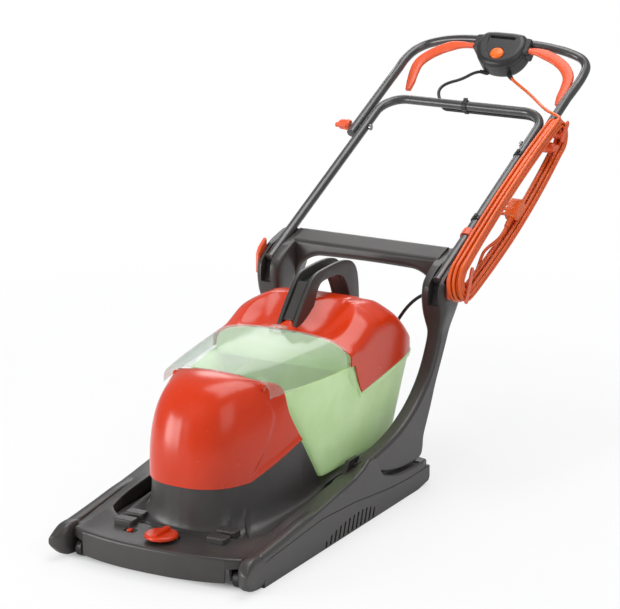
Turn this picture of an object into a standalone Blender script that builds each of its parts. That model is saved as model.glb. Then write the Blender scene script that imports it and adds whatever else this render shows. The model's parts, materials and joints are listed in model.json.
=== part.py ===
"""Walk-behind electric collecting lawn mower with a folding tubular handle."""
import math

import bmesh
import bpy
import numpy as np
from mathutils import Vector

# Datum. Shapes below are drawn with y = 0 at the middle of the glide frame.
SHIFT_Y = -0.3715
GAP = 0.0004

# Glide frame
FRAME_WALL = 0.0040
SKIN = 0.0030
OPENING_HALF_W = 0.1505
RAIL_IN_X = 0.1760

# Running gear
WHEEL_R = 0.0165
WHEEL_W = 0.0140
WHEEL_X = 0.1600
WHEEL_Y = -0.3170
AXLE_R = 0.0030

# Hood and motor
HOOD_CLEARANCE = 0.0030
GUIDE_Y = (-0.0600, 0.1300)
SHAFT_R = 0.0050
MOTOR_R = 0.0480
MOTOR_Y = -0.0850
BLADE_R = 0.1600

# Grass box
BOX_FLOOR_Z = 0.0903
BOX_SKIN = 0.0022

# Handle
YOKE_PIVOT = (0.1120, 0.0960)
YOKE_PIN_R = 0.0040
TUBE_R = 0.0095
LOWER_X = 0.1850
LOWER_PIN = (0.4040, 0.3890)
LEVER_SEAT_X = 0.2012
HANDLE_RISE = 0.4762
KNOB_Y = 0.8000
KNOB_Z = LOWER_PIN[1] + HANDLE_RISE * (KNOB_Y - LOWER_PIN[0])
UPPER_X = 0.2055
BOLT_R = 0.0030
BAIL_AXIS = (1.0520, 0.7195)
BAIL_HUB_R = 0.0056
SWITCH_TILT = math.radians(44.0)
SWITCH_CENTRE = (0.0080, 1.0606, 0.7054)
SWITCH_SPLIT = 0.0134
BUTTON_R = 0.0122
BUTTON_V = -0.0165
MOTOR_EXIT = (-0.0250, -0.0370, -0.0100)
MAINS_EXIT = (0.0250, -0.0370, -0.0100)

# Cable storage on the right side: plate inner face, plate outer face, flange inner and outer face
HOOK_X = (0.2158, 0.2188, 0.2470, 0.2500)
UPPER_ARM = (0.8375, 0.5945)
LOWER_ARM = (0.4090, 0.3830)
LOWER_CLAMP_Y = 0.5300
YOKE_GROMMET = (0.1450, 0.4560, 0.3500)
GROMMET_RUN = (-0.45, -0.70, -0.55)
SADDLE_Y = 0.3240
SADDLE_Z = 0.0588

# Cords
MAINS_R = 0.0032
MOTOR_CABLE_R = 0.0033
FACE_GAP = 0.0004
CLIP_R = 0.0120
CLIP_WALL = 0.0016
CABLE_DROP = CLIP_R + GAP + MOTOR_CABLE_R
CABLE_SIDE = (0.4299 * CABLE_DROP, -0.9029 * CABLE_DROP)
HANK_LOOPS = 11
HANK_POINTS = 24
HANK_LAYERS = 4
HANK_PITCH = 0.0069
HANK_STEP = 0.0078
HANK_X = 0.2330
HANK_TOP = (0.8320, 0.5920)
HANK_LOW = (0.4160, 0.3920)
HANK_TOP_R = 0.0300
HANK_LOW_R = 0.0340
HANK_START = 6
HANK_END = 19
PLUG_BASE = (0.2350, 0.6204, 0.4694)
PLUG_RUN = (0.832, 0.555)


def reset():
    for item in list(bpy.data.objects):
        bpy.data.objects.remove(item, do_unlink=True)


def make_material(name, rgb, rough, metal=0.0, alpha=1.0, trans=0.0):
    mat = bpy.data.materials.new(name)
    mat.use_nodes = True
    shader = mat.node_tree.nodes["Principled BSDF"]
    shader.inputs["Base Color"].default_value = (*rgb, 1.0)
    shader.inputs["Roughness"].default_value = rough
    shader.inputs["Metallic"].default_value = metal
    shader.inputs["Alpha"].default_value = alpha
    shader.inputs["Transmission Weight"].default_value = trans
    return mat


LOOKS = {
    "grey": ((0.070, 0.066, 0.062), 0.42, 0.0, 1.0, 0.0),
    "orange": ((0.760, 0.095, 0.022), 0.22, 0.0, 1.0, 0.0),
    "salmon": ((0.800, 0.160, 0.085), 0.34, 0.0, 1.0, 0.0),
    "green": ((0.420, 0.680, 0.340), 0.25, 0.0, 0.75, 0.4),
    "clear": ((0.900, 0.920, 0.920), 0.08, 0.0, 0.35, 0.9),
    "tube": ((0.090, 0.090, 0.092), 0.32, 0.6, 1.0, 0.0),
    "steel": ((0.560, 0.560, 0.570), 0.30, 1.0, 1.0, 0.0),
    "alloy": ((0.620, 0.620, 0.640), 0.35, 1.0, 1.0, 0.0),
    "copper": ((0.620, 0.260, 0.120), 0.35, 1.0, 1.0, 0.0),
    "black": ((0.020, 0.020, 0.021), 0.50, 0.0, 1.0, 0.0),
    "cable": ((0.800, 0.200, 0.050), 0.40, 0.0, 1.0, 0.0),
    "cord_black": ((0.022, 0.022, 0.024), 0.45, 0.0, 1.0, 0.0),
}


def raw(name, verts, faces):
    mesh = bpy.data.meshes.new(name)
    mesh.from_pydata([tuple(float(c) for c in v) for v in verts], [], faces)
    obj = bpy.data.objects.new(name, mesh)
    bpy.context.scene.collection.objects.link(obj)
    tidy(obj)
    return obj


def tidy(obj, merge=0.00002):
    bm = bmesh.new()
    bm.from_mesh(obj.data)
    bmesh.ops.remove_doubles(bm, verts=bm.verts, dist=merge)
    bmesh.ops.dissolve_degenerate(bm, dist=0.000005, edges=bm.edges)
    bmesh.ops.recalc_face_normals(bm, faces=bm.faces)
    bm.to_mesh(obj.data)
    bm.free()


def apply_all(obj):
    deps = bpy.context.evaluated_depsgraph_get()
    mesh = bpy.data.meshes.new_from_object(obj.evaluated_get(deps))
    obj.modifiers.clear()
    obj.data = mesh


def drop(objs):
    for item in objs:
        bpy.data.objects.remove(item, do_unlink=True)


def combine(obj, others, operation):
    for item in others:
        mod = obj.modifiers.new(operation, "BOOLEAN")
        mod.operation = operation
        mod.solver = "EXACT"
        mod.object = item
        bpy.context.view_layer.update()
        apply_all(obj)
    drop(others)
    tidy(obj)
    return obj


def fuse(obj, others):
    return combine(obj, others, "UNION")


def cut(obj, others):
    return combine(obj, others, "DIFFERENCE")


def soften(obj, width, segments=2, angle=32.0):
    mod = obj.modifiers.new("edge", "BEVEL")
    mod.width = width
    mod.segments = segments
    mod.limit_method = "ANGLE"
    mod.angle_limit = math.radians(angle)
    mod.harden_normals = False
    bpy.context.view_layer.update()
    apply_all(obj)
    tidy(obj)
    return obj


def finish(obj, name, look, parent=None, origin=(0.0, 0.0, 0.0), smooth=34.0):
    obj.name = name
    obj.data.name = name
    base = Vector(origin) + Vector((0.0, SHIFT_Y, 0.0))
    mesh = obj.data
    shift = Vector(origin)
    for v in mesh.vertices:
        v.co -= shift
    mesh.materials.clear()
    mesh.materials.append(make_material(name + "_finish", *LOOKS[look]))
    for p in mesh.polygons:
        p.material_index = 0
        p.use_smooth = True
    mesh.set_sharp_from_angle(angle=math.radians(smooth))
    obj["base"] = tuple(base)
    if parent is None:
        obj.location = base
    else:
        obj.parent = parent
        obj.location = base - Vector(parent["base"])
    return obj


def split_quads(obj):
    bm = bmesh.new()
    bm.from_mesh(obj.data)
    quads = [f for f in bm.faces if len(f.verts) == 4]
    bmesh.ops.triangulate(bm, faces=quads, quad_method="SHORT_EDGE")
    bm.to_mesh(obj.data)
    bm.free()
    return obj


def rings_body(rings, loop=False):
    rings = np.asarray(rings, float)
    count, n = rings.shape[:2]
    faces = []
    last = count if loop else count - 1
    for i in range(last):
        a = i * n
        b = ((i + 1) % count) * n
        for j in range(n):
            k = (j + 1) % n
            faces.append((a + j, a + k, b + k, b + j))
    if not loop:
        faces.append(tuple(range(n))[::-1])
        faces.append(tuple((count - 1) * n + j for j in range(n)))
    return raw("body", rings.reshape(-1, 3), faces)


def patch_solid(grid, depth):
    grid = np.asarray(grid, float)
    rows, cols = grid.shape[:2]
    du = np.gradient(grid, axis=1)
    dv = np.gradient(grid, axis=0)
    normal = np.cross(du, dv)
    normal /= np.maximum(np.linalg.norm(normal, axis=2, keepdims=True), 1e-9)
    inner = grid - normal * depth
    verts = np.concatenate([grid.reshape(-1, 3), inner.reshape(-1, 3)])
    total = rows * cols
    faces = []
    for i in range(rows - 1):
        for j in range(cols - 1):
            a = i * cols + j
            quad = (a, a + 1, a + cols + 1, a + cols)
            faces.append(quad)
            faces.append(tuple(total + q for q in quad[::-1]))
    edge = [i for i in range(cols)]
    edge += [i * cols + cols - 1 for i in range(1, rows)]
    edge += [(rows - 1) * cols + j for j in range(cols - 2, -1, -1)]
    edge += [i * cols for i in range(rows - 2, 0, -1)]
    for i, a in enumerate(edge):
        b = edge[(i + 1) % len(edge)]
        faces.append((b, a, total + a, total + b))
    return raw("patch", verts, faces)


def prism(outline, axis, low, high):
    order = {"x": (1, 2, 0), "y": (0, 2, 1), "z": (0, 1, 2)}[axis]
    rings = []
    for level in (low, high):
        ring = np.zeros((len(outline), 3))
        ring[:, order[0]] = [p[0] for p in outline]
        ring[:, order[1]] = [p[1] for p in outline]
        ring[:, order[2]] = level
        rings.append(ring)
    return rings_body(rings)


def block(low, high):
    outline = [(low[0], low[1]), (high[0], low[1]), (high[0], high[1]), (low[0], high[1])]
    return prism(outline, "z", low[2], high[2])


def disc(radius, sides, phase=0.0):
    turn = np.linspace(0.0, 2.0 * math.pi, sides, endpoint=False) + phase
    return [(radius * math.cos(t), radius * math.sin(t)) for t in turn]


def rod(centre, axis, radius, low, high, sides=14):
    pts = [(centre[0] + x, centre[1] + y) for x, y in disc(radius, sides)]
    return prism(pts, axis, low, high)


def turned(profile, centre, axis="z", sides=32, loop=False):
    turn = np.linspace(0.0, 2.0 * math.pi, sides, endpoint=False)
    rings = []
    for radius, height in profile:
        ring = np.zeros((sides, 3))
        first, second, third = {"x": (1, 2, 0), "y": (2, 0, 1), "z": (0, 1, 2)}[axis]
        ring[:, first] = radius * np.cos(turn)
        ring[:, second] = radius * np.sin(turn)
        ring[:, third] = height
        rings.append(ring + np.array(centre))
    return rings_body(rings, loop)


def smooth_path(points, count, closed=False):
    pts = np.asarray(points, float)
    gaps = np.linalg.norm(np.diff(pts, axis=0), axis=1)
    t = np.concatenate([[0.0], np.cumsum(np.sqrt(gaps))])
    dense = np.linspace(0.0, t[-1], 600)
    slope = np.gradient(pts, t, axis=0)
    out = np.zeros((600, pts.shape[1]))
    index = np.clip(np.searchsorted(t, dense, side="right") - 1, 0, len(t) - 2)
    h = (t[index + 1] - t[index])[:, None]
    s = ((dense - t[index])[:, None]) / h
    a = pts[index]
    b = pts[index + 1]
    out = (2 * s**3 - 3 * s**2 + 1) * a + (s**3 - 2 * s**2 + s) * h * slope[index]
    out += (-2 * s**3 + 3 * s**2) * b + (s**3 - s**2) * h * slope[index + 1]
    run = np.concatenate([[0.0], np.cumsum(np.linalg.norm(np.diff(out, axis=0), axis=1))])
    want = np.linspace(0.0, run[-1], count)
    return np.stack([np.interp(want, run, out[:, k]) for k in range(pts.shape[1])], axis=1)


def rounded_path(points, radii, steps=6):
    pts = [np.array(p, float) for p in points]
    out = [pts[0]]
    for i in range(1, len(pts) - 1):
        r = radii[i - 1]
        a = pts[i - 1] - pts[i]
        b = pts[i + 1] - pts[i]
        a /= np.linalg.norm(a)
        b /= np.linalg.norm(b)
        half = math.acos(max(-1.0, min(1.0, float(a @ b)))) / 2.0
        cut_back = r / math.tan(half)
        middle = (a + b) / np.linalg.norm(a + b)
        centre = pts[i] + middle * r / math.sin(half)
        start = pts[i] + a * cut_back - centre
        stop = pts[i] + b * cut_back - centre
        span = math.pi - 2.0 * half
        for k in range(steps + 1):
            t = k / steps
            mixed = start * math.sin((1 - t) * span) + stop * math.sin(t * span)
            out.append(centre + mixed / math.sin(span))
    out.append(pts[-1])
    return np.array(out)


def sweep(path, radius, sides=10, section=None):
    path = np.asarray(path, float)
    tangent = np.gradient(path, axis=0)
    tangent[0] = path[1] - path[0]
    tangent[-1] = path[-1] - path[-2]
    tangent /= np.linalg.norm(tangent, axis=1, keepdims=True)
    side = np.cross(tangent[0], [0.0, 0.0, 1.0])
    if np.linalg.norm(side) < 0.1:
        side = np.cross(tangent[0], [1.0, 0.0, 0.0])
    rings = []
    shape = section if section is not None else disc(radius, sides)
    for i in range(len(path)):
        side = side - tangent[i] * (side @ tangent[i])
        side /= np.linalg.norm(side)
        up = np.cross(side, tangent[i])
        rings.append([path[i] + side * a + up * b for a, b in shape])
    return rings_body(rings)


def cord(path, radius, resolution=2):
    data = bpy.data.curves.new("cord", "CURVE")
    data.dimensions = "3D"
    data.bevel_depth = radius
    data.bevel_resolution = resolution
    data.use_fill_caps = True
    line = data.splines.new("POLY")
    line.points.add(len(path) - 1)
    for i, p in enumerate(path):
        line.points[i].co = (float(p[0]), float(p[1]), float(p[2]), 1.0)
    obj = bpy.data.objects.new("cord", data)
    bpy.context.scene.collection.objects.link(obj)
    bpy.context.view_layer.update()
    deps = bpy.context.evaluated_depsgraph_get()
    mesh = bpy.data.meshes.new_from_object(obj.evaluated_get(deps))
    out = bpy.data.objects.new("cord", mesh)
    bpy.context.scene.collection.objects.link(out)
    bpy.data.objects.remove(obj, do_unlink=True)
    tidy(out)
    return out


def deck_z(y):
    ys = [-0.36, -0.26, -0.10, 0.03, 0.12, 0.26]
    return float(np.interp(y, ys, [0.057, 0.061, 0.077, 0.087, 0.087, 0.066]))


def superpoint(t, power):
    c = math.cos(t)
    s = math.sin(t)
    return math.copysign(abs(c) ** (2.0 / power), c), math.copysign(abs(s) ** (2.0 / power), s)


# Glide frame. Half stations from front middle to rear middle: outer x, outer y, top z,
# bottom z of the outer wall, inner x, inner y.
FRAME_STATIONS = [
    (0.000, -0.3600, 0.0570, 0.0100, 0.000, -0.2650),
    (0.050, -0.3585, 0.0570, 0.0100, 0.040, -0.2645),
    (0.095, -0.3535, 0.0570, 0.0105, 0.078, -0.2620),
    (0.128, -0.3465, 0.0570, 0.0110, 0.104, -0.2570),
    (0.1465, -0.3420, 0.0565, 0.0120, 0.120, -0.2480),
    (0.1475, -0.3415, 0.0565, 0.0370, 0.1215, -0.2470),
    (0.1730, -0.3280, 0.0550, 0.0390, 0.143, -0.2200),
    (0.1735, -0.3130, 0.0560, 0.0400, 0.1475, -0.2050),
    (0.2040, -0.3080, 0.0575, 0.0475, 0.1490, -0.1900),
    (0.2045, -0.2500, 0.0625, 0.0520, 0.1505, -0.1700),
    (0.2045, -0.0950, 0.0820, 0.0630, 0.1505, -0.0800),
    (0.2045, 0.0350, 0.0995, 0.0560, 0.1505, 0.0350),
    (0.2045, 0.0680, 0.1090, 0.0520, 0.1505, 0.0680),
    (0.2045, 0.0860, 0.1185, 0.0500, 0.1505, 0.0860),
    (0.2045, 0.1000, 0.1200, 0.0485, 0.1505, 0.1000),
    (0.2045, 0.1140, 0.1140, 0.0470, 0.1505, 0.1140),
    (0.2045, 0.1300, 0.0920, 0.0450, 0.1505, 0.1300),
    (0.2045, 0.1460, 0.0740, 0.0430, 0.1505, 0.1460),
    (0.2045, 0.1950, 0.0590, 0.0390, 0.1505, 0.1950),
    (0.2045, 0.2500, 0.0535, 0.0370, 0.1505, 0.2300),
    (0.2045, 0.3100, 0.0520, 0.0370, 0.1490, 0.2600),
    (0.2010, 0.3290, 0.0515, 0.0370, 0.1430, 0.2700),
    (0.1752, 0.3375, 0.0510, 0.0370, 0.1300, 0.2750),
    (0.1740, 0.3375, 0.0510, 0.0200, 0.1200, 0.2750),
    (0.0900, 0.3380, 0.0510, 0.0200, 0.0800, 0.2750),
    (0.000, 0.3380, 0.0510, 0.0200, 0.000, 0.2750),
]


def seam_z(y):
    stations = [s for s in FRAME_STATIONS if s[0] > 0.2035]
    ys = [s[1] for s in stations]
    zs = [s[3] for s in stations]
    return float(np.interp(y, ys, zs))


def frame_sections():
    mirrored = [(-s[0], *s[1:4], -s[4], s[5]) for s in FRAME_STATIONS[-2:0:-1]]
    out = []
    for xo, yo, top, low, xi, yi in FRAME_STATIONS + mirrored:
        outer = np.array([xo, yo])
        inner = np.array([xi, yi])
        across = inner - outer
        across /= np.linalg.norm(across)
        lip = deck_z(yi) if yi < 0.05 else min(deck_z(yi), max(top + 0.002, 0.053))
        steps = [
            (outer, low),
            (outer, top - 0.005),
            (outer + across * 0.0015, top - 0.0015),
            (outer + across * 0.005, top),
            (inner - across * 0.003, lip),
            (inner, lip - 0.002),
            (inner, lip - 0.012),
            (inner - across * SKIN, lip - 0.012),
            (inner - across * (SKIN + 0.001), lip - SKIN),
            (outer + across * (FRAME_WALL + 0.002), top - SKIN - 0.001),
            (outer + across * FRAME_WALL, top - SKIN - 0.003),
            (outer + across * FRAME_WALL, low),
        ]
        out.append([(p[0], p[1], z) for p, z in steps])
    return out


def span(side, near, far):
    return min(side * near, side * far), max(side * near, side * far)


def inset_ring(half, inset=0.0):
    """Closed plan from its right half, moved inwards by inset along the outline's normals."""
    half = [tuple(p) for p in half]
    pts = np.array(half + [(-x, y) for x, y in half[-2:0:-1]])
    ahead = np.roll(pts, -1, axis=0) - np.roll(pts, 1, axis=0)
    turn = np.sum(pts[:, 0] * np.roll(pts[:, 1], -1) - np.roll(pts[:, 0], -1) * pts[:, 1])
    out = np.stack([ahead[:, 1], -ahead[:, 0]], axis=1) * np.sign(turn)
    out /= np.linalg.norm(out, axis=1, keepdims=True)
    return pts - out * inset


def both(maker):
    return [maker(1.0), maker(-1.0)]


def build_frame():
    frame = split_quads(rings_body(frame_sections(), loop=True))
    cheek = [(0.055, 0.070), (0.088, 0.111), (0.124, 0.111), (0.136, 0.098), (0.150, 0.074), (0.100, 0.066)]
    adds = both(lambda s: prism(cheek, "x", *span(s, 0.1535, 0.1620)))
    bracket = [(-0.330, 0.050), (-0.304, 0.054), (-0.309, 0.0115), (-0.325, 0.0115)]
    adds += both(lambda s: prism(bracket, "x", *span(s, 0.1475, 0.1520)))
    fuse(frame, adds)
    pocket = [(0.094, 0.030), (0.094, 0.150), (0.302, 0.150), (0.302, 0.030)]
    cuts = both(lambda s: prism(pocket, "x", *span(s, 0.1625, 0.2003)))
    pin_r = YOKE_PIN_R + 0.00015
    cuts += both(lambda s: rod(YOKE_PIVOT, "x", pin_r, *span(s, 0.150, 0.2030)))
    cuts.append(rod((0.0, -0.312), "z", 0.0065, 0.030, 0.070))
    cuts.append(block((-0.0840, -0.3075, 0.040), (-0.0600, -0.2935, 0.080)))
    cuts += [block((x - 0.0160, -0.2835, 0.0595), (x + 0.0160, -0.2676, 0.090)) for x in (-0.096, 0.096)]
    cut(frame, cuts)
    spot = (WHEEL_Y, WHEEL_R)
    stubs = both(lambda s: rod(spot, "x", AXLE_R, *span(s, 0.1480, 0.1796)))
    tabs = []
    for x in (-0.096, 0.096):
        tab = prism(rounded_box((x - 0.0155, -0.2830), (x + 0.0155, -0.2682), 0.004, 1), "z", 0.0575, 0.0680)
        tabs.append(soften(tab, 0.0022, 1, 60.0))
    saddle = prism(rounded_box((0.0320, 0.0500), (0.0480, SADDLE_Z + 0.0066), 0.003, 2), "y", 0.3180, 0.3300)
    fuse(frame, stubs + tabs + [saddle])
    cut(frame, [rod((0.0400, SADDLE_Z), "y", MOTOR_CABLE_R + GAP, 0.310, 0.340)])
    return finish(frame, "glide_frame", "grey")


RAIL_PROFILE = [
    (-0.3445, 0.0100),
    (-0.3390, 0.0025),
    (-0.3300, 0.0000),
    (0.2900, 0.0000),
    (0.3320, 0.0060),
    (0.3375, 0.0130),
    (0.3375, 0.0364),
]


def rail_top(y):
    return seam_z(y) - GAP


def build_rail(side, name, frame):
    ys = [0.329] + [s[1] for s in FRAME_STATIONS if s[0] > 0.2035][::-1][:-1]
    outline = RAIL_PROFILE + [(y, rail_top(y)) for y in ys]
    outline += [(-0.3074, 0.0396), (-0.3134, 0.0396), (-0.3140, 0.0600), (-0.3300, 0.0610)]
    outline += [(-0.3400, 0.0580), (-0.3445, 0.0480), (-0.3465, 0.0300)]
    low, high = span(side, RAIL_IN_X, 0.2050)
    rail = prism(outline, "x", low, high)
    soften(rail, 0.0022, 1, 40.0)
    hollow = [(-0.298, 0.0050), (0.288, 0.0050), (0.328, 0.0110), (0.328, 0.080), (-0.298, 0.080)]
    low, high = span(side, 0.1720, 0.2005)
    cuts = [prism(hollow, "x", low, high)]
    low, high = span(side, 0.1980, 0.2080)
    for i in range(12):
        y = -0.084 + i * 0.0165
        top = 0.006 + 0.027 * math.sqrt(max(0.0, 1.0 - ((y - 0.012) / 0.104) ** 2)) * (0.8 + 1.6 * (y + 0.09))
        lean = 0.35 * (top - 0.0035)
        slot = [(y, 0.0035), (y + 0.0062, 0.0035), (y + 0.0062 + lean, top), (y + lean, top)]
        cuts.append(prism(slot, "x", low, high))
    low, high = span(side, 0.1700, 0.1800)
    cuts.append(rod((WHEEL_Y, WHEEL_R), "x", AXLE_R + 0.00015, low, high))
    cut(rail, cuts)
    return finish(rail, name, "grey", frame)


def rounded_box(low, high, radius, corner_sides=3):
    pts = []
    for cx, cy, start in (
        (high[0] - radius, high[1] - radius, 0.0),
        (low[0] + radius, high[1] - radius, 90.0),
        (low[0] + radius, low[1] + radius, 180.0),
        (high[0] - radius, low[1] + radius, 270.0),
    ):
        for k in range(corner_sides + 1):
            t = math.radians(start + 90.0 * k / corner_sides)
            pts.append((cx + radius * math.cos(t), cy + radius * math.sin(t)))
    return pts


def build_wheels(frame):
    for side, word in ((1.0, "right"), (-1.0, "left")):
        half = WHEEL_W / 2.0
        bore = AXLE_R + 0.00035
        profile = [(bore, -half), (0.0150, -half), (WHEEL_R, -half + 0.0016)]
        profile += [(WHEEL_R, half - 0.0016), (0.0150, half), (0.0130, half), (0.0120, half - 0.0020)]
        profile += [(0.0085, half - 0.0020), (0.0075, half), (bore, half)]
        centre = (side * (WHEEL_X + 0.0030), WHEEL_Y, WHEEL_R)
        wheel = turned([(r, side * x) for r, x in profile], centre, "x", 14, loop=True)
        finish(wheel, "front_wheel_" + word, "black", frame, centre)


def build_dial(frame):
    base = 0.0620
    centre = (0.0, -0.3120, 0.0)
    profile = [(0.0004, 0.0445), (0.0085, 0.0445), (0.0085, 0.0475), (0.0058, 0.0480), (0.0058, base)]
    profile += [(0.0290, base), (0.0305, base + 0.0015), (0.0305, base + 0.0050), (0.0290, base + 0.0070)]
    profile += [(0.0255, base + 0.0080), (0.0004, base + 0.0080)]
    dial = turned(profile, centre, "z", 16)
    plan = rounded_box((-0.0060, -0.0250), (0.0060, 0.0250), 0.005, 2)
    grip = prism(plan, "z", base + 0.006, base + 0.0135)
    for v in grip.data.vertices:
        v.co.y += centre[1]
    soften(grip, 0.0018, 1, 60.0)
    fuse(dial, [grip])
    dial = finish(dial, "height_dial", "orange", frame, centre)
    pointer = block((-0.0770, -0.3055, 0.0560), (-0.0690, -0.2955, 0.0600))
    shelf = block((-0.0860, -0.3070, 0.0480), (-0.0580, -0.2940, 0.0553))
    finish(soften(pointer, 0.0006, 1, 50.0), "height_pointer", "orange", frame, (-0.073, -0.3005, 0.058))
    finish(shelf, "pointer_track", "black", frame)
    return dial


def pedestal_top(y):
    ys = [-0.17, -0.10, -0.050, -0.036, 0.026, 0.030]
    zs = [0.1370, 0.1600, 0.1790, 0.1830, 0.0925, 0.0905]
    return float(np.interp(y, ys, zs))


WINDOW_AXIS = (-0.1320, 0.3190)
LUG_SPOT = (-0.1075, 0.2940)
LUG_R = 0.0082

COVER_PLAN = [
    (0.0000, -0.2515),
    (0.0300, -0.2490),
    (0.0600, -0.2360),
    (0.0820, -0.2130),
    (0.0950, -0.1830),
    (0.1050, -0.1500),
    (0.1160, -0.1050),
    (0.1245, -0.0650),
    (0.1290, -0.0350),
]


def cover_plan(count):
    return smooth_path(COVER_PLAN, count)


def pedestal_ring(grow, height, count=13, tail=0.030):
    plan = cover_plan(count)
    rear = [(0.1300, -0.010), (0.1310, 0.010), (0.1310, tail), (0.0900, tail), (0.0450, tail)]
    pts = inset_ring([tuple(p) for p in plan] + rear + [(0.0, tail)], -grow)
    return np.array([(x, y, height(y)) for x, y in pts])


def opening_outline(inset):
    return inset_ring([(st[4], st[5]) for st in FRAME_STATIONS], inset)


def hood_edge_ring(template, inset, height):
    edge = opening_outline(HOOD_CLEARANCE + inset)
    after = np.roll(edge, -1, axis=0)
    centre = np.array([0.0, -0.045])
    ring = []
    for p in template:
        ray = p[:2] - centre
        reach = []
        for a, b in zip(edge, after):
            d = b - a
            det = ray[0] * -d[1] + ray[1] * d[0]
            if abs(det) < 1e-12:
                continue
            w = a - centre
            t = (w[0] * -d[1] + w[1] * d[0]) / det
            u = (ray[0] * w[1] - ray[1] * w[0]) / det
            if t > 0.0 and -1e-9 <= u <= 1.0 + 1e-9:
                reach.append(t)
        x, y = centre + ray * max(reach)
        ring.append((x, y, height(y)))
    return np.array(ring)


def build_hood(frame):
    skirt_z = 0.0460
    wall = 0.0030

    foot = pedestal_ring(0.0100, lambda y: deck_z(y) + 0.0002)
    rise = pedestal_ring(0.0040, lambda y: min(deck_z(y) + 0.0060, pedestal_top(y)))
    crest = pedestal_ring(-0.0012, pedestal_top)
    inner = pedestal_ring(-0.0012 - wall, pedestal_top)
    floor_z = 0.0740
    inner_low = pedestal_ring(-0.0010 - wall, lambda y: floor_z)
    rim = hood_edge_ring(foot, 0.0, deck_z)
    rim_low = hood_edge_ring(foot, 0.0, lambda y: skirt_z)
    rim_in_low = hood_edge_ring(foot, wall, lambda y: skirt_z)
    rim_in = hood_edge_ring(foot, wall, lambda y: deck_z(y) - wall)
    under = pedestal_ring(0.0040, lambda y: min(deck_z(y) - wall, floor_z - wall))
    hub = np.array([(0.0, MOTOR_Y)] * len(foot))
    ray = foot[:, :2] - hub
    ray /= np.linalg.norm(ray, axis=1, keepdims=True)
    hole = hub + ray * 0.0140
    top_hole = np.column_stack([hole, np.full(len(foot), floor_z)])
    low_hole = np.column_stack([hole, np.full(len(foot), floor_z - wall)])
    rings = [rim_low, rim, foot, rise, crest, inner, inner_low, top_hole, low_hole, under, rim_in, rim_in_low]
    hood = split_quads(rings_body(rings, loop=True))
    cut(hood, [block((-0.050, 0.0750, 0.040), (0.050, 0.1450, 0.120))])
    pads = []
    for x in (-0.096, 0.096):
        low = deck_z(-0.238)
        plan = rounded_box((x - 0.0160, -0.2460), (x + 0.0160, -0.2290), 0.004, 1)
        pad = prism(plan, "z", low - 0.0015, low + 0.0062)
        pads.append(soften(pad, 0.0018, 1, 60.0))
    for side in (1.0, -1.0):
        for y in GUIDE_Y:
            low, high = span(side, OPENING_HALF_W - HOOD_CLEARANCE - 0.0015, OPENING_HALF_W - GAP)
            pads.append(block((low, y - 0.0080, 0.0500), (high, y + 0.0080, deck_z(y) - 0.0060)))
    fuse(hood, pads)
    return finish(hood, "hood", "grey", frame)


def build_cover(hood):
    rows = 8
    plan = cover_plan(9)[::-1]
    sides = np.concatenate([plan * [-1.0, 1.0], plan[:-1][::-1]])
    s = np.linspace(-1.0, 1.0, len(sides))
    grid = np.zeros((rows, len(sides), 3))
    power = 2.75
    for j, (x, y) in enumerate(sides):
        base = np.array([x, y, pedestal_top(y) + GAP])
        ax = 0.086 * s[j]
        share = (ax / 0.086) ** 2
        apex = np.array([ax, -0.120 + 0.017 * share, 0.317 - 0.019 * share])
        edge = max(0.0, abs(s[j]) - 0.55) / 0.45
        for i in range(rows):
            t = math.pi / 2.0 * i / (rows - 1)
            flat = 1.0 - abs(math.cos(t)) ** (2.0 / power)
            rise = abs(math.sin(t)) ** (2.0 / power)
            p = base.copy()
            p[:2] += (apex[:2] - base[:2]) * flat
            p[2] += (apex[2] - base[2]) * rise
            lean = math.sin(math.pi * rise ** 1.2) * edge**2
            p[1] -= 0.026 * lean
            p[0] -= 0.006 * lean * math.copysign(1.0, s[j]) * (1.0 if abs(s[j]) > 0 else 0.0)
            grid[i, j] = p
    cover = split_quads(patch_solid(grid[:, ::-1], 0.0026))
    lugs = []
    for side in (-1.0, 1.0):
        low, high = span(side, 0.0785, 0.0960)
        lugs.append(rod(LUG_SPOT, "x", LUG_R, low, high, 14))
    fuse(cover, lugs)
    return finish(cover, "motor_cover", "orange", hood)


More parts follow.
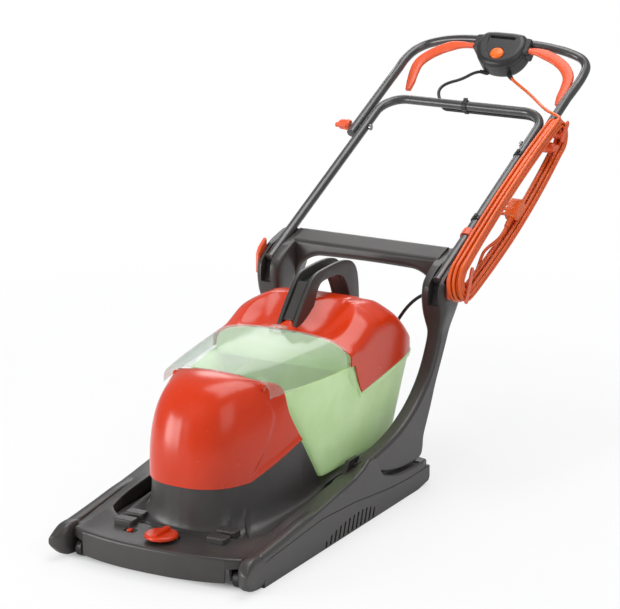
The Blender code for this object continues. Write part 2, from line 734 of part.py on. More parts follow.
def build_motor(hood):
    at = (0.0, MOTOR_Y, 0.0)
    deck = 0.0740
    can = [(0.0168, deck + GAP), (0.0560, deck + GAP), (0.0560, deck + 0.005), (MOTOR_R, deck + 0.008)]
    can += [(MOTOR_R, 0.1580), (MOTOR_R - 0.0025, 0.1605), (0.0300, 0.1605)]
    can += [(0.0300, 0.1575), (MOTOR_R - 0.003, 0.1575), (MOTOR_R - 0.003, deck + 0.0080)]
    can += [(0.0168, deck + 0.0080)]
    housing = turned(can, at, "z", 14, loop=True)
    screws = []
    for k in range(4):
        t = math.radians(45 + 90 * k)
        spot = (0.0520 * math.cos(t), MOTOR_Y + 0.0520 * math.sin(t), 0.0)
        screw = [(0.0034, deck + 0.0040), (0.0034, deck + 0.0085), (0.0022, deck + 0.0095)]
        screws.append(turned(screw, spot, "z", 6))
    fuse(housing, screws)
    finish(housing, "motor_housing", "black", hood)
    stack = [(0.0300, 0.0980), (0.0310, 0.0860), (0.0400, 0.0860), (0.0420, 0.0920), (0.0400, 0.0980)]
    stack += [(MOTOR_R - 0.0034, 0.0980), (MOTOR_R - 0.0034, 0.1420), (0.0400, 0.1420), (0.0420, 0.1480)]
    stack += [(0.0400, 0.1540), (0.0310, 0.1540), (0.0300, 0.1420)]
    finish(turned(stack, at, "z", 14, loop=True), "motor_stator", "steel", hood)
    end = [(0.0134, 0.1610), (0.0360, 0.1610), (0.0360, 0.1640), (0.0200, 0.1680), (0.0200, 0.1760)]
    end += [(0.0134, 0.1760)]
    finish(turned(end, at, "z", 14, loop=True), "motor_end_cap", "grey", hood)
    for name, low, radius in (("lower_bearing", 0.0750, 0.0158), ("upper_bearing", 0.1690, 0.0130)):
        bore = SHAFT_R + 0.0004
        ring = [(bore, low), (radius, low), (radius, low + 0.005), (bore, low + 0.005)]
        finish(turned(ring, at, "z", 12, loop=True), name, "steel", hood)
    terminal = soften(block((0.055, -0.070, 0.0746), (0.090, -0.046, 0.0960)), 0.002, 1, 50.0)
    finish(terminal, "terminal_block", "black", hood)


def build_rotor(hood):
    at = (0.0, MOTOR_Y, 0.0)
    shaft = [(0.0004, 0.0290), (0.0040, 0.0290), (SHAFT_R, 0.0300), (SHAFT_R, 0.0950), (0.0285, 0.0965)]
    shaft += [(0.0285, 0.1425), (SHAFT_R, 0.1440), (SHAFT_R, 0.1740), (0.0004, 0.1740)]
    rotor = finish(turned(shaft, at, "z", 12), "motor_rotor", "steel", hood, (0.0, MOTOR_Y, 0.100))
    hub = [(SHAFT_R + 0.0004, 0.0535), (0.0120, 0.0535), (0.0125, 0.0560), (0.0980, 0.0560), (0.0980, 0.0580)]
    hub += [(0.0125, 0.0580), (0.0120, 0.0690), (SHAFT_R + 0.0004, 0.0690)]
    fan = turned(hub, at, "z", 16, loop=True)
    vanes = []
    for k in range(6):
        t = math.radians(60 * k)
        path = []
        for q in np.linspace(0.0, 1.0, 3):
            radius = 0.030 + 0.066 * q
            turn = t + 0.55 * q
            path.append((radius * math.cos(turn), MOTOR_Y + radius * math.sin(turn)))
        left = []
        right = []
        for i, (x, y) in enumerate(path):
            a = np.array(path[min(i + 1, 2)]) - np.array(path[max(i - 1, 0)])
            a /= np.linalg.norm(a)
            left.append((x - a[1] * 0.0011, y + a[0] * 0.0011))
            right.append((x + a[1] * 0.0011, y - a[0] * 0.0011))
        vanes.append(prism(left + right[::-1], "z", 0.0575, 0.0630))
    fuse(fan, vanes)
    finish(fan, "impeller", "grey", rotor, (0.0, MOTOR_Y, 0.060))
    half = BLADE_R
    plan = [(-half, -0.020), (-half + 0.055, -0.024), (-0.030, -0.022), (0.030, -0.022)]
    plan.append((half - 0.055, -0.0215))
    plan += [(half, -0.016), (half, 0.020), (half - 0.055, 0.024), (0.030, 0.022), (-0.030, 0.022)]
    plan += [(-half + 0.055, 0.0215), (-half, 0.016)]
    blade = prism([(x, y + MOTOR_Y) for x, y in plan], "z", 0.0400, 0.0425)
    holes = [rod((0.0, MOTOR_Y), "z", SHAFT_R + 0.0004, 0.03, 0.05)]
    cut(blade, holes)
    finish(blade, "cutter_blade", "steel", rotor, (0.0, MOTOR_Y, 0.0412))
    ring = [(SHAFT_R + 0.0004, 0.0430), (0.0150, 0.0430), (0.0150, 0.0530), (SHAFT_R + 0.0004, 0.0530)]
    finish(turned(ring, at, "z", 12, loop=True), "blade_spacer", "black", rotor, (0.0, MOTOR_Y, 0.048))
    nut = prism([(x, y + MOTOR_Y) for x, y in disc(0.0110, 6)], "z", 0.0320, 0.0395)
    cut(nut, [rod((0.0, MOTOR_Y), "z", SHAFT_R + 0.0004, 0.03, 0.05)])
    finish(nut, "blade_nut", "steel", rotor, (0.0, MOTOR_Y, 0.0355))
    return rotor


def box_rim(y):
    return float(np.interp(y, [-0.10, 0.134, 0.158, 0.405], [0.2740, 0.2810, 0.2215, 0.2540]))


BOX_PLAN = [
    (0.0000, -0.0780),
    (0.0500, -0.0780),
    (0.0780, -0.0765),
    (0.0950, -0.0690),
    (0.1100, -0.0400),
    (0.1260, 0.0100),
    (0.1380, 0.0750),
    (0.1440, 0.1340),
    (0.1450, 0.1580),
    (0.1450, 0.2500),
    (0.1430, 0.3400),
    (0.1350, 0.3800),
    (0.1100, 0.3960),
    (0.0500, 0.4010),
    (0.0000, 0.4020),
]

FLOOR_PLAN = [
    (0.0000, 0.0380),
    (0.0400, 0.0380),
    (0.0800, 0.0370),
    (0.1080, 0.0360),
    (0.1280, 0.0350),
    (0.1340, 0.0500),
    (0.1350, 0.0900),
    (0.1350, 0.1340),
    (0.1350, 0.1580),
    (0.1350, 0.2300),
    (0.1330, 0.3000),
    (0.1230, 0.3220),
    (0.1000, 0.3320),
    (0.0500, 0.3360),
    (0.0000, 0.3370),
]


def box_ring(share, inset):
    floor = inset_ring(FLOOR_PLAN, inset)
    top = inset_ring(BOX_PLAN, inset)
    return floor + (top - floor) * share


def box_level(share, inset, base):
    plan = box_ring(share, inset)
    rim = np.array([box_rim(y) for y in inset_ring(BOX_PLAN)[:, 1]])
    height = base + (rim - base) * share
    return np.column_stack([plan, height])


def build_box(hood):
    rings = []
    flare = 0.0035
    for share in (0.0, 0.33, 0.66, 0.93):
        rings.append(box_level(share, 0.0, BOX_FLOOR_Z))
    top = box_level(1.0, 0.0, BOX_FLOOR_Z)
    lipped = box_level(0.945, 0.0, BOX_FLOOR_Z)
    out = inset_ring(BOX_PLAN, -flare)
    wide = np.where(inset_ring(BOX_PLAN)[:, 1:2] > 0.150, 1.0, 0.0)
    lipped[:, :2] += (out - inset_ring(BOX_PLAN)) * wide
    top_lip = top.copy()
    top_lip[:, :2] += (out - inset_ring(BOX_PLAN)) * wide
    rings += [lipped, top_lip]
    inner_top = box_level(1.0, BOX_SKIN, BOX_FLOOR_Z)
    rings.append(inner_top)
    for share in (0.66, 0.33, 0.0):
        rings.append(box_level(share, BOX_SKIN, BOX_FLOOR_Z + BOX_SKIN))
    base = rings_body(rings)
    cut(base, [block((-0.0480, 0.0770, 0.080), (0.0480, 0.1430, 0.110))])
    return finish(base, "grass_box_base", "green", hood, (0.0, 0.150, BOX_FLOOR_Z))


LID_FRONT_Y = 0.1190
LID_REAR_Y = 0.4020
LID_HALF_W = 0.1470
LID_SEAT = 0.0012
BOWL = (0.0580, 0.1630, 0.0450, 0.0660, 0.0380)


def lid_crown(x, y):
    ys = [0.119, 0.150, 0.180, 0.205, 0.240, 0.290, 0.311, 0.338, 0.360, 0.393, 0.402]
    zs = [0.3340, 0.3440, 0.3560, 0.3660, 0.3680, 0.3640, 0.3570, 0.3370, 0.3160, 0.2860, 0.2780]
    fall = 0.0160 - 0.0100 * min(1.0, (y - LID_FRONT_Y) / 0.140)
    crown = float(np.interp(y, ys, zs)) - fall * (abs(x) / 0.137) ** 2.4
    bx, by, rx, ry, depth = BOWL
    far = ((abs(x) - bx) / rx) ** 2 + ((y - by) / ry) ** 2
    fade = min(1.0, max(0.0, (y - LID_FRONT_Y) / 0.020))
    return crown - depth * fade * math.sqrt(max(0.0, 1.0 - far))


def build_lid(base):
    half = [0.0, 0.10, 0.21, 0.32, 0.43, 0.55, 0.66, 0.77, 0.88, 0.965, 1.0]
    across = [-a for a in half[:0:-1]] + half
    back = [0.0, 0.053, 0.138, 0.24, 0.34, 0.44, 0.60, 0.78, 0.90, 0.970, 1.0]
    grid = np.zeros((len(back), len(across), 3))
    for i, b in enumerate(back):
        for j, a in enumerate(across):
            reach = max(abs(a), b)
            scale = 1.0
            if reach > 0.0:
                scale = ((abs(a) / reach) ** 8 + (b / reach) ** 8) ** (-1.0 / 8.0)
            x = LID_HALF_W * a * scale
            y = LID_FRONT_Y + (LID_REAR_Y - LID_FRONT_Y) * b * scale
            rim = box_rim(y) + LID_SEAT + 0.0006
            rise = max(0.0, 1.0 - reach**9) ** (1.0 / 9.0)
            grid[i, j] = (x, y, rim + (lid_crown(x, y) - rim) * rise)
    lid = split_quads(patch_solid(grid, 0.0026))
    for v in lid.data.vertices:
        v.co.z = max(v.co.z, box_rim(v.co.y) + LID_SEAT)
    front = [(0.1292, 0.2900), (0.1292, 0.3252), (0.1408, 0.3496), (0.1700, 0.3850)]
    front += [(0.2200, 0.4100), (0.2338, 0.3958), (0.2106, 0.3597), (0.2005, 0.3244), (0.2005, 0.2900)]
    feet = [prism(front, "x", -0.0187, 0.0187)]
    feet.append(block((-0.0187, 0.3566, 0.260), (0.0187, 0.3930, 0.420)))
    cut(lid, feet)
    return finish(lid, "grass_box_lid", "orange", base)


CARRY_OUTER = [
    (0.1300, 0.3250),
    (0.1420, 0.3480),
    (0.2030, 0.4130),
    (0.2160, 0.4195),
    (0.2700, 0.4245),
    (0.3300, 0.4225),
    (0.3640, 0.4125),
    (0.3800, 0.3960),
    (0.3880, 0.3700),
    (0.3920, 0.3260),
]
CARRY_INNER = [
    (0.3570, 0.3260),
    (0.3450, 0.3600),
    (0.3280, 0.3860),
    (0.3100, 0.3975),
    (0.2600, 0.4010),
    (0.2330, 0.3960),
    (0.2100, 0.3600),
    (0.2000, 0.3250),
]


RELEASE_AXIS = (0.1480, 0.3460)
GROOVE_HALF = 0.0130


def build_carry(base):
    handle = prism(CARRY_OUTER + CARRY_INNER, "x", -0.0183, 0.0183)
    soften(handle, 0.0016, 1, 60.0)
    groove = []
    outer = np.array(CARRY_OUTER)
    middle = np.array([0.262, 0.330])
    for p in outer:
        d = p - middle
        groove.append(tuple(p + d / np.linalg.norm(d) * 0.02))
    for p in outer[::-1]:
        d = p - middle
        groove.append(tuple(p - d / np.linalg.norm(d) * 0.0130))
    cut(handle, [prism(groove, "x", -GROOVE_HALF, GROOVE_HALF)])
    handle = finish(handle, "carry_handle", "grey", base)
    lever = [(0.1452, 0.3477), (0.1985, 0.4046), (0.2034, 0.4083), (0.2043, 0.4020), (0.1496, 0.3436)]
    trigger = soften(prism(lever, "x", -0.0105, 0.0105), 0.0010, 1, 50.0)
    fuse(trigger, [rod(RELEASE_AXIS, "x", 0.0018, -GROOVE_HALF + 0.0003, GROOVE_HALF - 0.0003, 8)])
    finish(trigger, "box_release", "grey", base, (0.0, *RELEASE_AXIS))


def window_section(y):
    share = (y + 0.118) / (0.1180 + 0.1180)
    half_w = 0.1120 + (0.1455 - 0.1120) * share ** 0.8
    low = float(np.interp(y, [-0.118, 0.134], [0.2809, 0.2864]))
    high = float(np.interp(y, [-0.118, -0.09, 0.118], [0.3199, 0.3231, 0.3371]))
    return half_w, low, high


def build_window(base):
    rows = 5
    cols = 15
    grid = np.zeros((rows, cols, 3))
    for i in range(rows):
        share = i / (rows - 1)
        y = -0.118 + 0.2340 * share
        half_w, low, high = window_section(y)
        for j in range(cols):
            t = math.pi * j / (cols - 1)
            c, s = superpoint(t, 3.2)
            bow = 0.012 * (1.0 - share) * (1.0 - abs(c) ** 2)
            droop = 0.0016 * (1.0 - share)
            grid[i, j] = (half_w * c, y - bow, low + (high - low + droop) * s)
    window = split_quads(patch_solid(grid[:, ::-1], 0.0020))
    tab = prism(rounded_box((-0.0165, 0.098), (0.0165, 0.1165), 0.004), "z", 0.3300, 0.3440)
    soften(tab, 0.0020, 1, 50.0)
    fuse(window, [tab])
    return finish(window, "window", "clear", base, (0.0, *WINDOW_AXIS))


ARM_PROFILE = [
    (0.1000, 0.0890),
    (0.0975, 0.0975),
    (0.1010, 0.1060),
    (0.1100, 0.1120),
    (0.1400, 0.1180),
    (0.1930, 0.1270),
    (0.2370, 0.1390),
    (0.3000, 0.1690),
    (0.3500, 0.2110),
    (0.3830, 0.2620),
    (0.3980, 0.3000),
    (0.4400, 0.3400),
    (0.4520, 0.3300),
    (0.4310, 0.2780),
    (0.4060, 0.2350),
    (0.3760, 0.1880),
    (0.3420, 0.1290),
    (0.3180, 0.0980),
    (0.2950, 0.0820),
    (0.2650, 0.0710),
    (0.2100, 0.0700),
    (0.1700, 0.0730),
    (0.1300, 0.0820),
    (0.1120, 0.0830),
]

SHOULDER_PROFILE = [
    (0.3960, 0.2980),
    (0.3840, 0.3300),
    (0.3800, 0.3560),
    (0.3830, 0.3780),
    (0.4180, 0.4030),
    (0.4980, 0.4290),
    (0.5060, 0.4200),
    (0.4980, 0.3960),
    (0.4720, 0.3600),
    (0.4480, 0.3250),
    (0.4360, 0.2880),
]


def build_yoke(frame):
    adds = []
    for side in (1.0, -1.0):
        low, high = span(side, 0.1660, 0.1975)
        arm = prism(ARM_PROFILE, "x", low, high)
        low, high = span(side, 0.1545, 0.2100)
        shoulder = prism(SHOULDER_PROFILE, "x", low, high)
        soften(shoulder, 0.0035, 1, 50.0)
        adds += [arm, shoulder]
    arch = []
    for x in np.linspace(-0.160, 0.160, 11):
        share = abs(x) / 0.160
        lift = 0.026 * (1.0 - max(0.0, (share - 0.45) / 0.55) ** 2.2)
        top = [(0.4500, 0.4140 + 0.0010), (0.4970, 0.4300), (0.5070, 0.4200), (0.5020, 0.4020)]
        low = [(0.4880, 0.3720 + lift), (0.4560, 0.3620 + lift), (0.4480, 0.3720 + lift)]
        arch.append([(x, y, z) for y, z in top + low])
    beam = soften(rings_body(arch), 0.0030, 1, 50.0)
    fuse(beam, adds)
    cuts = []
    for side in (1.0, -1.0):
        py, pz = LOWER_PIN
        low, high = sorted((side * (LOWER_X - TUBE_R - 0.0008), side * (LOWER_X + TUBE_R + 0.0008)))
        run = (0.903, 0.430)
        r = TUBE_R + 0.0008
        slot = [(py - 0.060, pz + 0.090), (py - 0.060, pz - 0.048), (py - 0.010, pz - 0.048)]
        slot.append((py - 0.001, pz - 0.030))
        slot.append((py + 0.004, pz - r - 0.001))
        slot.append((py + 0.003 + run[0] * 0.16 + 0.43 * r, pz + run[1] * 0.16 - 0.903 * r))
        slot += [(py + 0.150, pz + 0.140), (py + 0.0, pz + 0.140)]
        cuts.append(prism(slot, "x", low, high))
        low, high = span(side, 0.1600, 0.2080)
        cuts.append(rod(LOWER_PIN, "x", YOKE_PIN_R + 0.00015, low, high))
        low, high = span(side, 0.1570, 0.1990)
        cuts.append(rod(YOKE_PIVOT, "x", YOKE_PIN_R + 0.00045, low, high))
        low, high = span(side, LEVER_SEAT_X, 0.2140)
        seat = [(0.392, 0.352), (0.392, 0.394), (0.4270, 0.4160), (0.4270, 0.352)]
        cuts.append(prism(seat, "x", low, high))
    cut(beam, cuts)
    return finish(beam, "yoke", "grey", frame, (0.0, *YOKE_PIVOT))


def build_yoke_fittings(frame, yoke):
    for side, word in ((1.0, "right"), (-1.0, "left")):
        low, high = span(side, 0.1545, 0.2028)
        finish(rod(YOKE_PIVOT, "x", YOKE_PIN_R, low, high), "yoke_pin_" + word, "steel", frame)
        low, high = sorted((side * 0.1603, side * (LEVER_SEAT_X - 0.0004)))
        finish(rod(LOWER_PIN, "x", YOKE_PIN_R, low, high), "handle_pin_" + word, "steel", yoke)
    for side, word in ((1.0, "right"), (-1.0, "left")):
        low, high = span(side, 0.2064, 0.2145)
        shape = [(0.3925, 0.3530), (0.3925, 0.3935), (0.4020, 0.4060), (0.4245, 0.4200)]
        shape += [(0.4262, 0.4140), (0.4262, 0.3530)]
        lever = soften(prism(shape, "x", low, high), 0.0020, 1, 50.0)
        finish(lever, "release_lever_" + word, "orange", yoke, (side * 0.2064, 0.4094, 0.3550))


def lower_path():
    py, pz = LOWER_PIN

    def leg(side, y):
        return (side * LOWER_X, y, pz + HANDLE_RISE * (y - py))

    corner_y = 0.896
    pts = [leg(-1, py - 0.006), leg(-1, corner_y), leg(1, corner_y), leg(1, py - 0.006)]
    return rounded_path(pts, [0.052, 0.052], 6)


def build_lower(yoke):
    tube = sweep(lower_path(), TUBE_R, 10)
    cuts = both(lambda s: rod(LOWER_PIN, "x", YOKE_PIN_R + 0.0004, *span(s, 0.17, 0.20)))
    spot = (KNOB_Y, KNOB_Z)
    cuts += both(lambda s: rod(spot, "x", BOLT_R + 0.0003, *span(s, 0.170, 0.200)))
    cut(tube, cuts)
    return finish(tube, "lower_handle", "tube", yoke, (0.0, *LOWER_PIN))


def upper_path():
    right = [
        (UPPER_X, 0.9500, KNOB_Z + HANDLE_RISE * 0.150),
        (0.2065, 0.9900, 0.6660),
        (0.2065, 1.0250, 0.6830),
        (0.2000, 1.0560, 0.6970),
        (0.1820, 1.0760, 0.7080),
        (0.1500, 1.0800, 0.7180),
        (0.1120, 1.0770, 0.7255),
        (0.0600, 1.0730, 0.7300),
        (0.0, 1.0710, 0.7305),
    ]
    left = [(-x, y, z) for x, y, z in right[-2::-1]]
    bend = smooth_path(right + left, 23)
    start = np.array([(UPPER_X, KNOB_Y - 0.024, KNOB_Z - HANDLE_RISE * 0.024)])
    return np.concatenate([start, bend, start * [-1.0, 1.0, 1.0]])


def build_upper(lower):
    tube = sweep(upper_path(), TUBE_R, 10)
    spot = (KNOB_Y, KNOB_Z)
    cuts = both(lambda s: rod(spot, "x", BOLT_R + 0.0004, *span(s, 0.190, 0.225)))
    cut(tube, cuts)
    return finish(tube, "upper_handle", "tube", lower, (0.0, KNOB_Y, KNOB_Z))


def build_knobs(lower):
    spot = (KNOB_Y, KNOB_Z)
    bolts = both(lambda s: rod(spot, "x", BOLT_R, *span(s, 0.1735, 0.2320), 12))
    heads = both(lambda s: rod(spot, "x", 0.0068, *span(s, 0.1700, 0.1740), 12))
    for bolt, head, word in zip(bolts, heads, ("right", "left")):
        fuse(bolt, [head])
        finish(bolt, "knob_bolt_" + word, "steel", lower)
    for side, word in ((1.0, "right"), (-1.0, "left")):
        profile = [(BOLT_R + 0.0003, 0.2200), (0.0100, 0.2200), (0.0120, 0.2240)]
        profile += [(0.0105, 0.2420), (0.0070, 0.2460), (BOLT_R + 0.0003, 0.2460)]
        knob = turned([(r, side * x) for r, x in profile], (0.0, KNOB_Y, KNOB_Z), "x", 12, loop=True)
        low, high = span(side, 0.2240, 0.2500)
        plan = rounded_box((KNOB_Y - 0.0140, KNOB_Z - 0.0050), (KNOB_Y + 0.0140, KNOB_Z + 0.0050), 0.0045)
        wing = prism(plan, "x", low, high)
        soften(wing, 0.0018, 1, 50.0)
        plug = rod(spot, "x", BOLT_R + 0.0003, *span(side, 0.2195, 0.2330), 12)
        fuse(knob, [wing])
        cut(knob, [plug])
        finish(knob, "wing_knob_" + word, "salmon", lower, (side * 0.2200, KNOB_Y, KNOB_Z))


def slab(a, b, radius_a, radius_b, low, high, sides=5):
    a = np.array(a)
    b = np.array(b)
    d = (b - a) / np.linalg.norm(b - a)
    n = np.array([-d[1], d[0]])
    outline = []
    for centre, radius, start in ((a, radius_a, math.pi / 2), (b, radius_b, -math.pi / 2)):
        for k in range(sides + 1):
            t = start + math.pi * k / sides
            outline.append(tuple(centre + radius * (d * math.cos(t) + n * math.sin(t))))
    return prism(outline, "x", low, high)


def tube_point(y):
    return (LOWER_X, y, LOWER_PIN[1] + HANDLE_RISE * (y - LOWER_PIN[0]))


def along_tube(obj, at):
    axis = Vector((0.0, 1.0, HANDLE_RISE)).normalized()
    turn = Vector((0.0, 0.0, 1.0)).rotation_difference(axis)
    for v in obj.data.vertices:
        v.co = turn @ v.co + Vector(at)
    return obj


def build_hooks(lower):
    body = slab((KNOB_Y, KNOB_Z), UPPER_ARM, 0.0115, 0.0085, HOOK_X[0], HOOK_X[1])
    arm = rod(UPPER_ARM, "x", 0.0060, HOOK_X[0] + 0.001, HOOK_X[2] + 0.001, 12)
    flange = slab((0.8560, 0.6170), (0.8320, 0.5890), 0.0062, 0.0062, HOOK_X[2], HOOK_X[3])
    fuse(body, [arm, flange])
    cut(body, [rod((KNOB_Y, KNOB_Z), "x", BOLT_R + 0.0003, 0.21, 0.225, 12)])
    finish(body, "cable_hook_upper", "salmon", lower)
    at = tube_point(LOWER_CLAMP_Y)
    ring = [(TUBE_R + GAP, -0.009), (0.0128, -0.009), (0.0128, 0.009), (TUBE_R + GAP, 0.009)]
    clamp = along_tube(turned(ring, (0.0, 0.0, 0.0), "z", 12, loop=True), at)
    bridge = rod((at[1], at[2]), "x", 0.0080, LOWER_X + 0.0112, HOOK_X[0] + 0.001, 12)
    plate = slab((at[1], at[2]), LOWER_ARM, 0.0105, 0.0085, HOOK_X[0], HOOK_X[1])
    arm = rod(LOWER_ARM, "x", 0.0060, HOOK_X[0] + 0.001, HOOK_X[2] + 0.001, 12)
    flange = slab((0.4200, 0.4110), (0.3965, 0.3560), 0.0062, 0.0062, HOOK_X[2], HOOK_X[3])
    fuse(plate, [bridge, arm, flange])
    fuse(plate, [clamp])
    finish(plate, "cable_hook_lower", "salmon", lower)


def build_clips(lower):
    ring = [(TUBE_R + GAP, -0.005), (CLIP_R, -0.005), (CLIP_R, 0.005), (TUBE_R + GAP, 0.005)]
    inner = MOTOR_CABLE_R + GAP
    hoop = [(inner, -0.004), (inner + CLIP_WALL, -0.004), (inner + CLIP_WALL, 0.004), (inner, 0.004)]
    for y, word in ((0.5712, "lower"), (0.7640, "upper")):
        clip = turned(ring, (0.0, 0.0, 0.0), "z", 12, loop=True)
        adds = [turned(hoop, (0.0, CABLE_DROP, 0.0), "z", 8, loop=True)]
        adds.append(block((-0.0030, -0.0160, -0.0040), (0.0030, -0.0106, 0.0040)))
        fuse(clip, adds)
        finish(along_tube(clip, tube_point(y)), "cable_clip_" + word, "black", lower)
    cross = lower_path()
    x, y, z = cross[len(cross) // 2] * [0.0, 1.0, 1.0]
    clip = turned(ring, (0.0, y, z), "x", 12, loop=True)
    adds = [turned(hoop, (0.0, y + CABLE_SIDE[0], z + CABLE_SIDE[1]), "x", 8, loop=True)]
    adds.append(block((-0.0040, y - 0.0030, z + 0.0106), (0.0040, y + 0.0030, z + 0.0160)))
    fuse(clip, adds)
    finish(clip, "cable_clip_cross", "black", lower)


def face_frame(u, v, n):
    c = math.cos(SWITCH_TILT)
    s = math.sin(SWITCH_TILT)
    x, y, z = SWITCH_CENTRE
    return (x + u, y + v * c - n * s, z + v * s + n * c)


SHIELD_SCALE = 1.12
SHIELD = [
    (0.0000, 0.0370),
    (0.0240, 0.0365),
    (0.0400, 0.0330),
    (0.0480, 0.0200),
    (0.0500, 0.0020),
    (0.0445, -0.0180),
    (0.0330, -0.0330),
    (0.0170, -0.0410),
    (0.0000, -0.0430),
]


def shield(inset):
    return inset_ring(SHIELD_SCALE * np.array(SHIELD), inset)


def shield_body(levels):
    return rings_body([[face_frame(u, v, n) for u, v in shield(inset)] for inset, n in levels])


def face_prism(outline, low, high):
    return rings_body([[face_frame(u, v, n) for u, v in outline] for n in (low, high)])


def face_drum(profile, u, v, sides=12):
    return rings_body([[face_frame(u + a, v + b, n) for a, b in disc(r, sides)] for r, n in profile])


def switch_bores():
    inside = [p for p in upper_path() if abs(p[0]) < 0.095]
    drill = rod(BAIL_AXIS, "x", BAIL_HUB_R + 0.0005, -0.080, 0.090)
    return [sweep(inside, TUBE_R + 0.0004, 12), drill]


def build_switch(upper):
    split = SWITCH_SPLIT
    ear = [(-0.0640, -0.0060), (-0.0640, 0.0300), (-0.0420, 0.0330), (-0.0420, -0.0080)]
    ears = [ear, [(-u, v) for u, v in ear[::-1]]]
    crown = [(0.0, split + GAP / 2), (0.0, 0.0200), (0.0020, 0.0250), (0.0080, 0.0295), (0.0110, 0.0302)]
    front = shield_body(crown)
    fuse(front, [soften(face_prism(e, split + GAP / 2, 0.0240), 0.002, 1, 50.0) for e in ears])
    panel = [(-0.0330, 0.0270), (-0.0310, 0.0050), (-0.0200, -0.0200), (-0.0120, -0.0280)]
    panel += [(-u, v) for u, v in panel[::-1]]
    ledge = [(-0.0300, 0.0210), (-0.0300, 0.0262), (0.0300, 0.0262), (0.0300, 0.0210)]
    hollow = shield_body([(0.0030, split - 0.001), (0.0030, 0.0180), (0.0110, 0.0240)])
    cuts = [face_prism(panel, 0.0278, 0.0400), face_prism(ledge, 0.0262, 0.0400), hollow]
    cuts.append(face_drum([(BUTTON_R + GAP, 0.0200), (BUTTON_R + GAP, 0.0400)], 0.0, BUTTON_V))
    cut(front, cuts + switch_bores())
    finish(front, "switch_box_front", "grey", upper)
    back = [(0.0130, -0.0240), (0.0040, -0.0200), (0.0, -0.0120), (0.0, split - GAP / 2)]
    rear = shield_body(back)
    adds = [soften(face_prism(e, -0.0100, split - GAP / 2), 0.002, 1, 50.0) for e in ears]
    adds.append(face_drum([(0.0180, -0.0200), (0.0180, -0.0300), (0.0150, -0.0330)][::-1], 0.0, 0.0120))
    fuse(rear, adds)
    hollow = shield_body([(0.0150, -0.0210), (0.0060, -0.0150), (0.0030, -0.0060), (0.0030, split + 0.001)])
    cuts = [hollow] + switch_bores()
    for u, v, n in (MOTOR_EXIT, MAINS_EXIT):
        path = [face_frame(u, v - 0.0300, n), face_frame(u, v + 0.0060, n)]
        cuts.append(sweep(path, MAINS_R + 0.0014, 12))
    cut(rear, cuts)
    finish(rear, "switch_box_rear", "grey", upper)
    lens = [(BUTTON_R + 0.0010, 0.0170), (BUTTON_R + 0.0010, 0.0225), (BUTTON_R, 0.0228), (BUTTON_R, 0.0305)]
    lens += [(BUTTON_R - 0.0020, 0.0322), (0.0060, 0.0332)]
    at = face_frame(0.0, BUTTON_V, 0.0280)
    finish(face_drum(lens, 0.0, BUTTON_V), "lock_button", "orange", upper, at)
    plan = [(-0.0150, -0.0200), (0.0150, -0.0200), (0.0150, 0.0060), (-0.0150, 0.0060)]
    case = face_prism(plan, -0.0206, 0.0060)
    finish(case, "switch_unit", "black", upper)


BAIL_HALF = [
    (0.0100, *BAIL_AXIS),
    (0.0700, *BAIL_AXIS),
    (0.0850, BAIL_AXIS[0] + 0.0005, BAIL_AXIS[1] - 0.0005),
    (0.1080, 1.0520, 0.7150),
    (0.1350, 1.0500, 0.7050),
    (0.1590, 1.0400, 0.6920),
    (0.1740, 1.0245, 0.6770),
    (0.1765, 1.0065, 0.6594),
    (0.1745, 0.9885, 0.6420),
    (0.1735, 0.9730, 0.6270),
]


def build_bail(upper):
    bend = smooth_path(BAIL_HALF[1:], 11)
    right = np.concatenate([[BAIL_HALF[0]], bend])
    path = np.concatenate([right[::-1] * [-1.0, 1.0, 1.0], right])
    tangent = np.gradient(path, axis=0)
    tangent[0] = path[1] - path[0]
    tangent[-1] = path[-1] - path[-2]
    tangent /= np.linalg.norm(tangent, axis=1, keepdims=True)
    normal = np.array([0.0, -0.7071, 0.7071])
    rings = []
    count = len(right)
    for i, p in enumerate(path):
        step = (i - count) if i >= count else (count - 1 - i)
        blade = float(np.interp(step, [2, 3, 7, 10, 11], [0.0085, 0.0118, 0.0122, 0.0095, 0.0060]))
        wide = BAIL_HUB_R if step < 2 else blade
        thin = BAIL_HUB_R if step < 2 else 0.0052
        side = np.cross(tangent[i], normal)
        side /= np.linalg.norm(side)
        up = np.cross(side, tangent[i])
        rings.append([p + side * a * wide + up * b * thin for a, b in disc(1.0, 8)])
    finish(rings_body(rings), "start_bail", "salmon", upper, (0.0, *BAIL_AXIS))


def stepped(at, direction, distance):
    d = np.array(direction, float)
    return np.array(at) + d / np.linalg.norm(d) * distance


def route(start, away, middle, end, toward, count, lead=0.0070):
    """Cable run whose two ends are straight and square to what they meet."""
    first = stepped(start, away, lead)
    last = stepped(end, toward, -lead)
    guide = [stepped(start, away, lead * 0.5), first] + [np.array(p) for p in middle]
    guide += [last, stepped(end, toward, -lead * 0.5)]
    bend = smooth_path(guide, 200)
    near = int(np.argmin(np.linalg.norm(bend - first, axis=1)))
    far = int(np.argmin(np.linalg.norm(bend - last, axis=1)))
    bend = smooth_path(bend[near : far + 1], count)
    return np.concatenate([[np.array(start)], bend, [np.array(end)]])


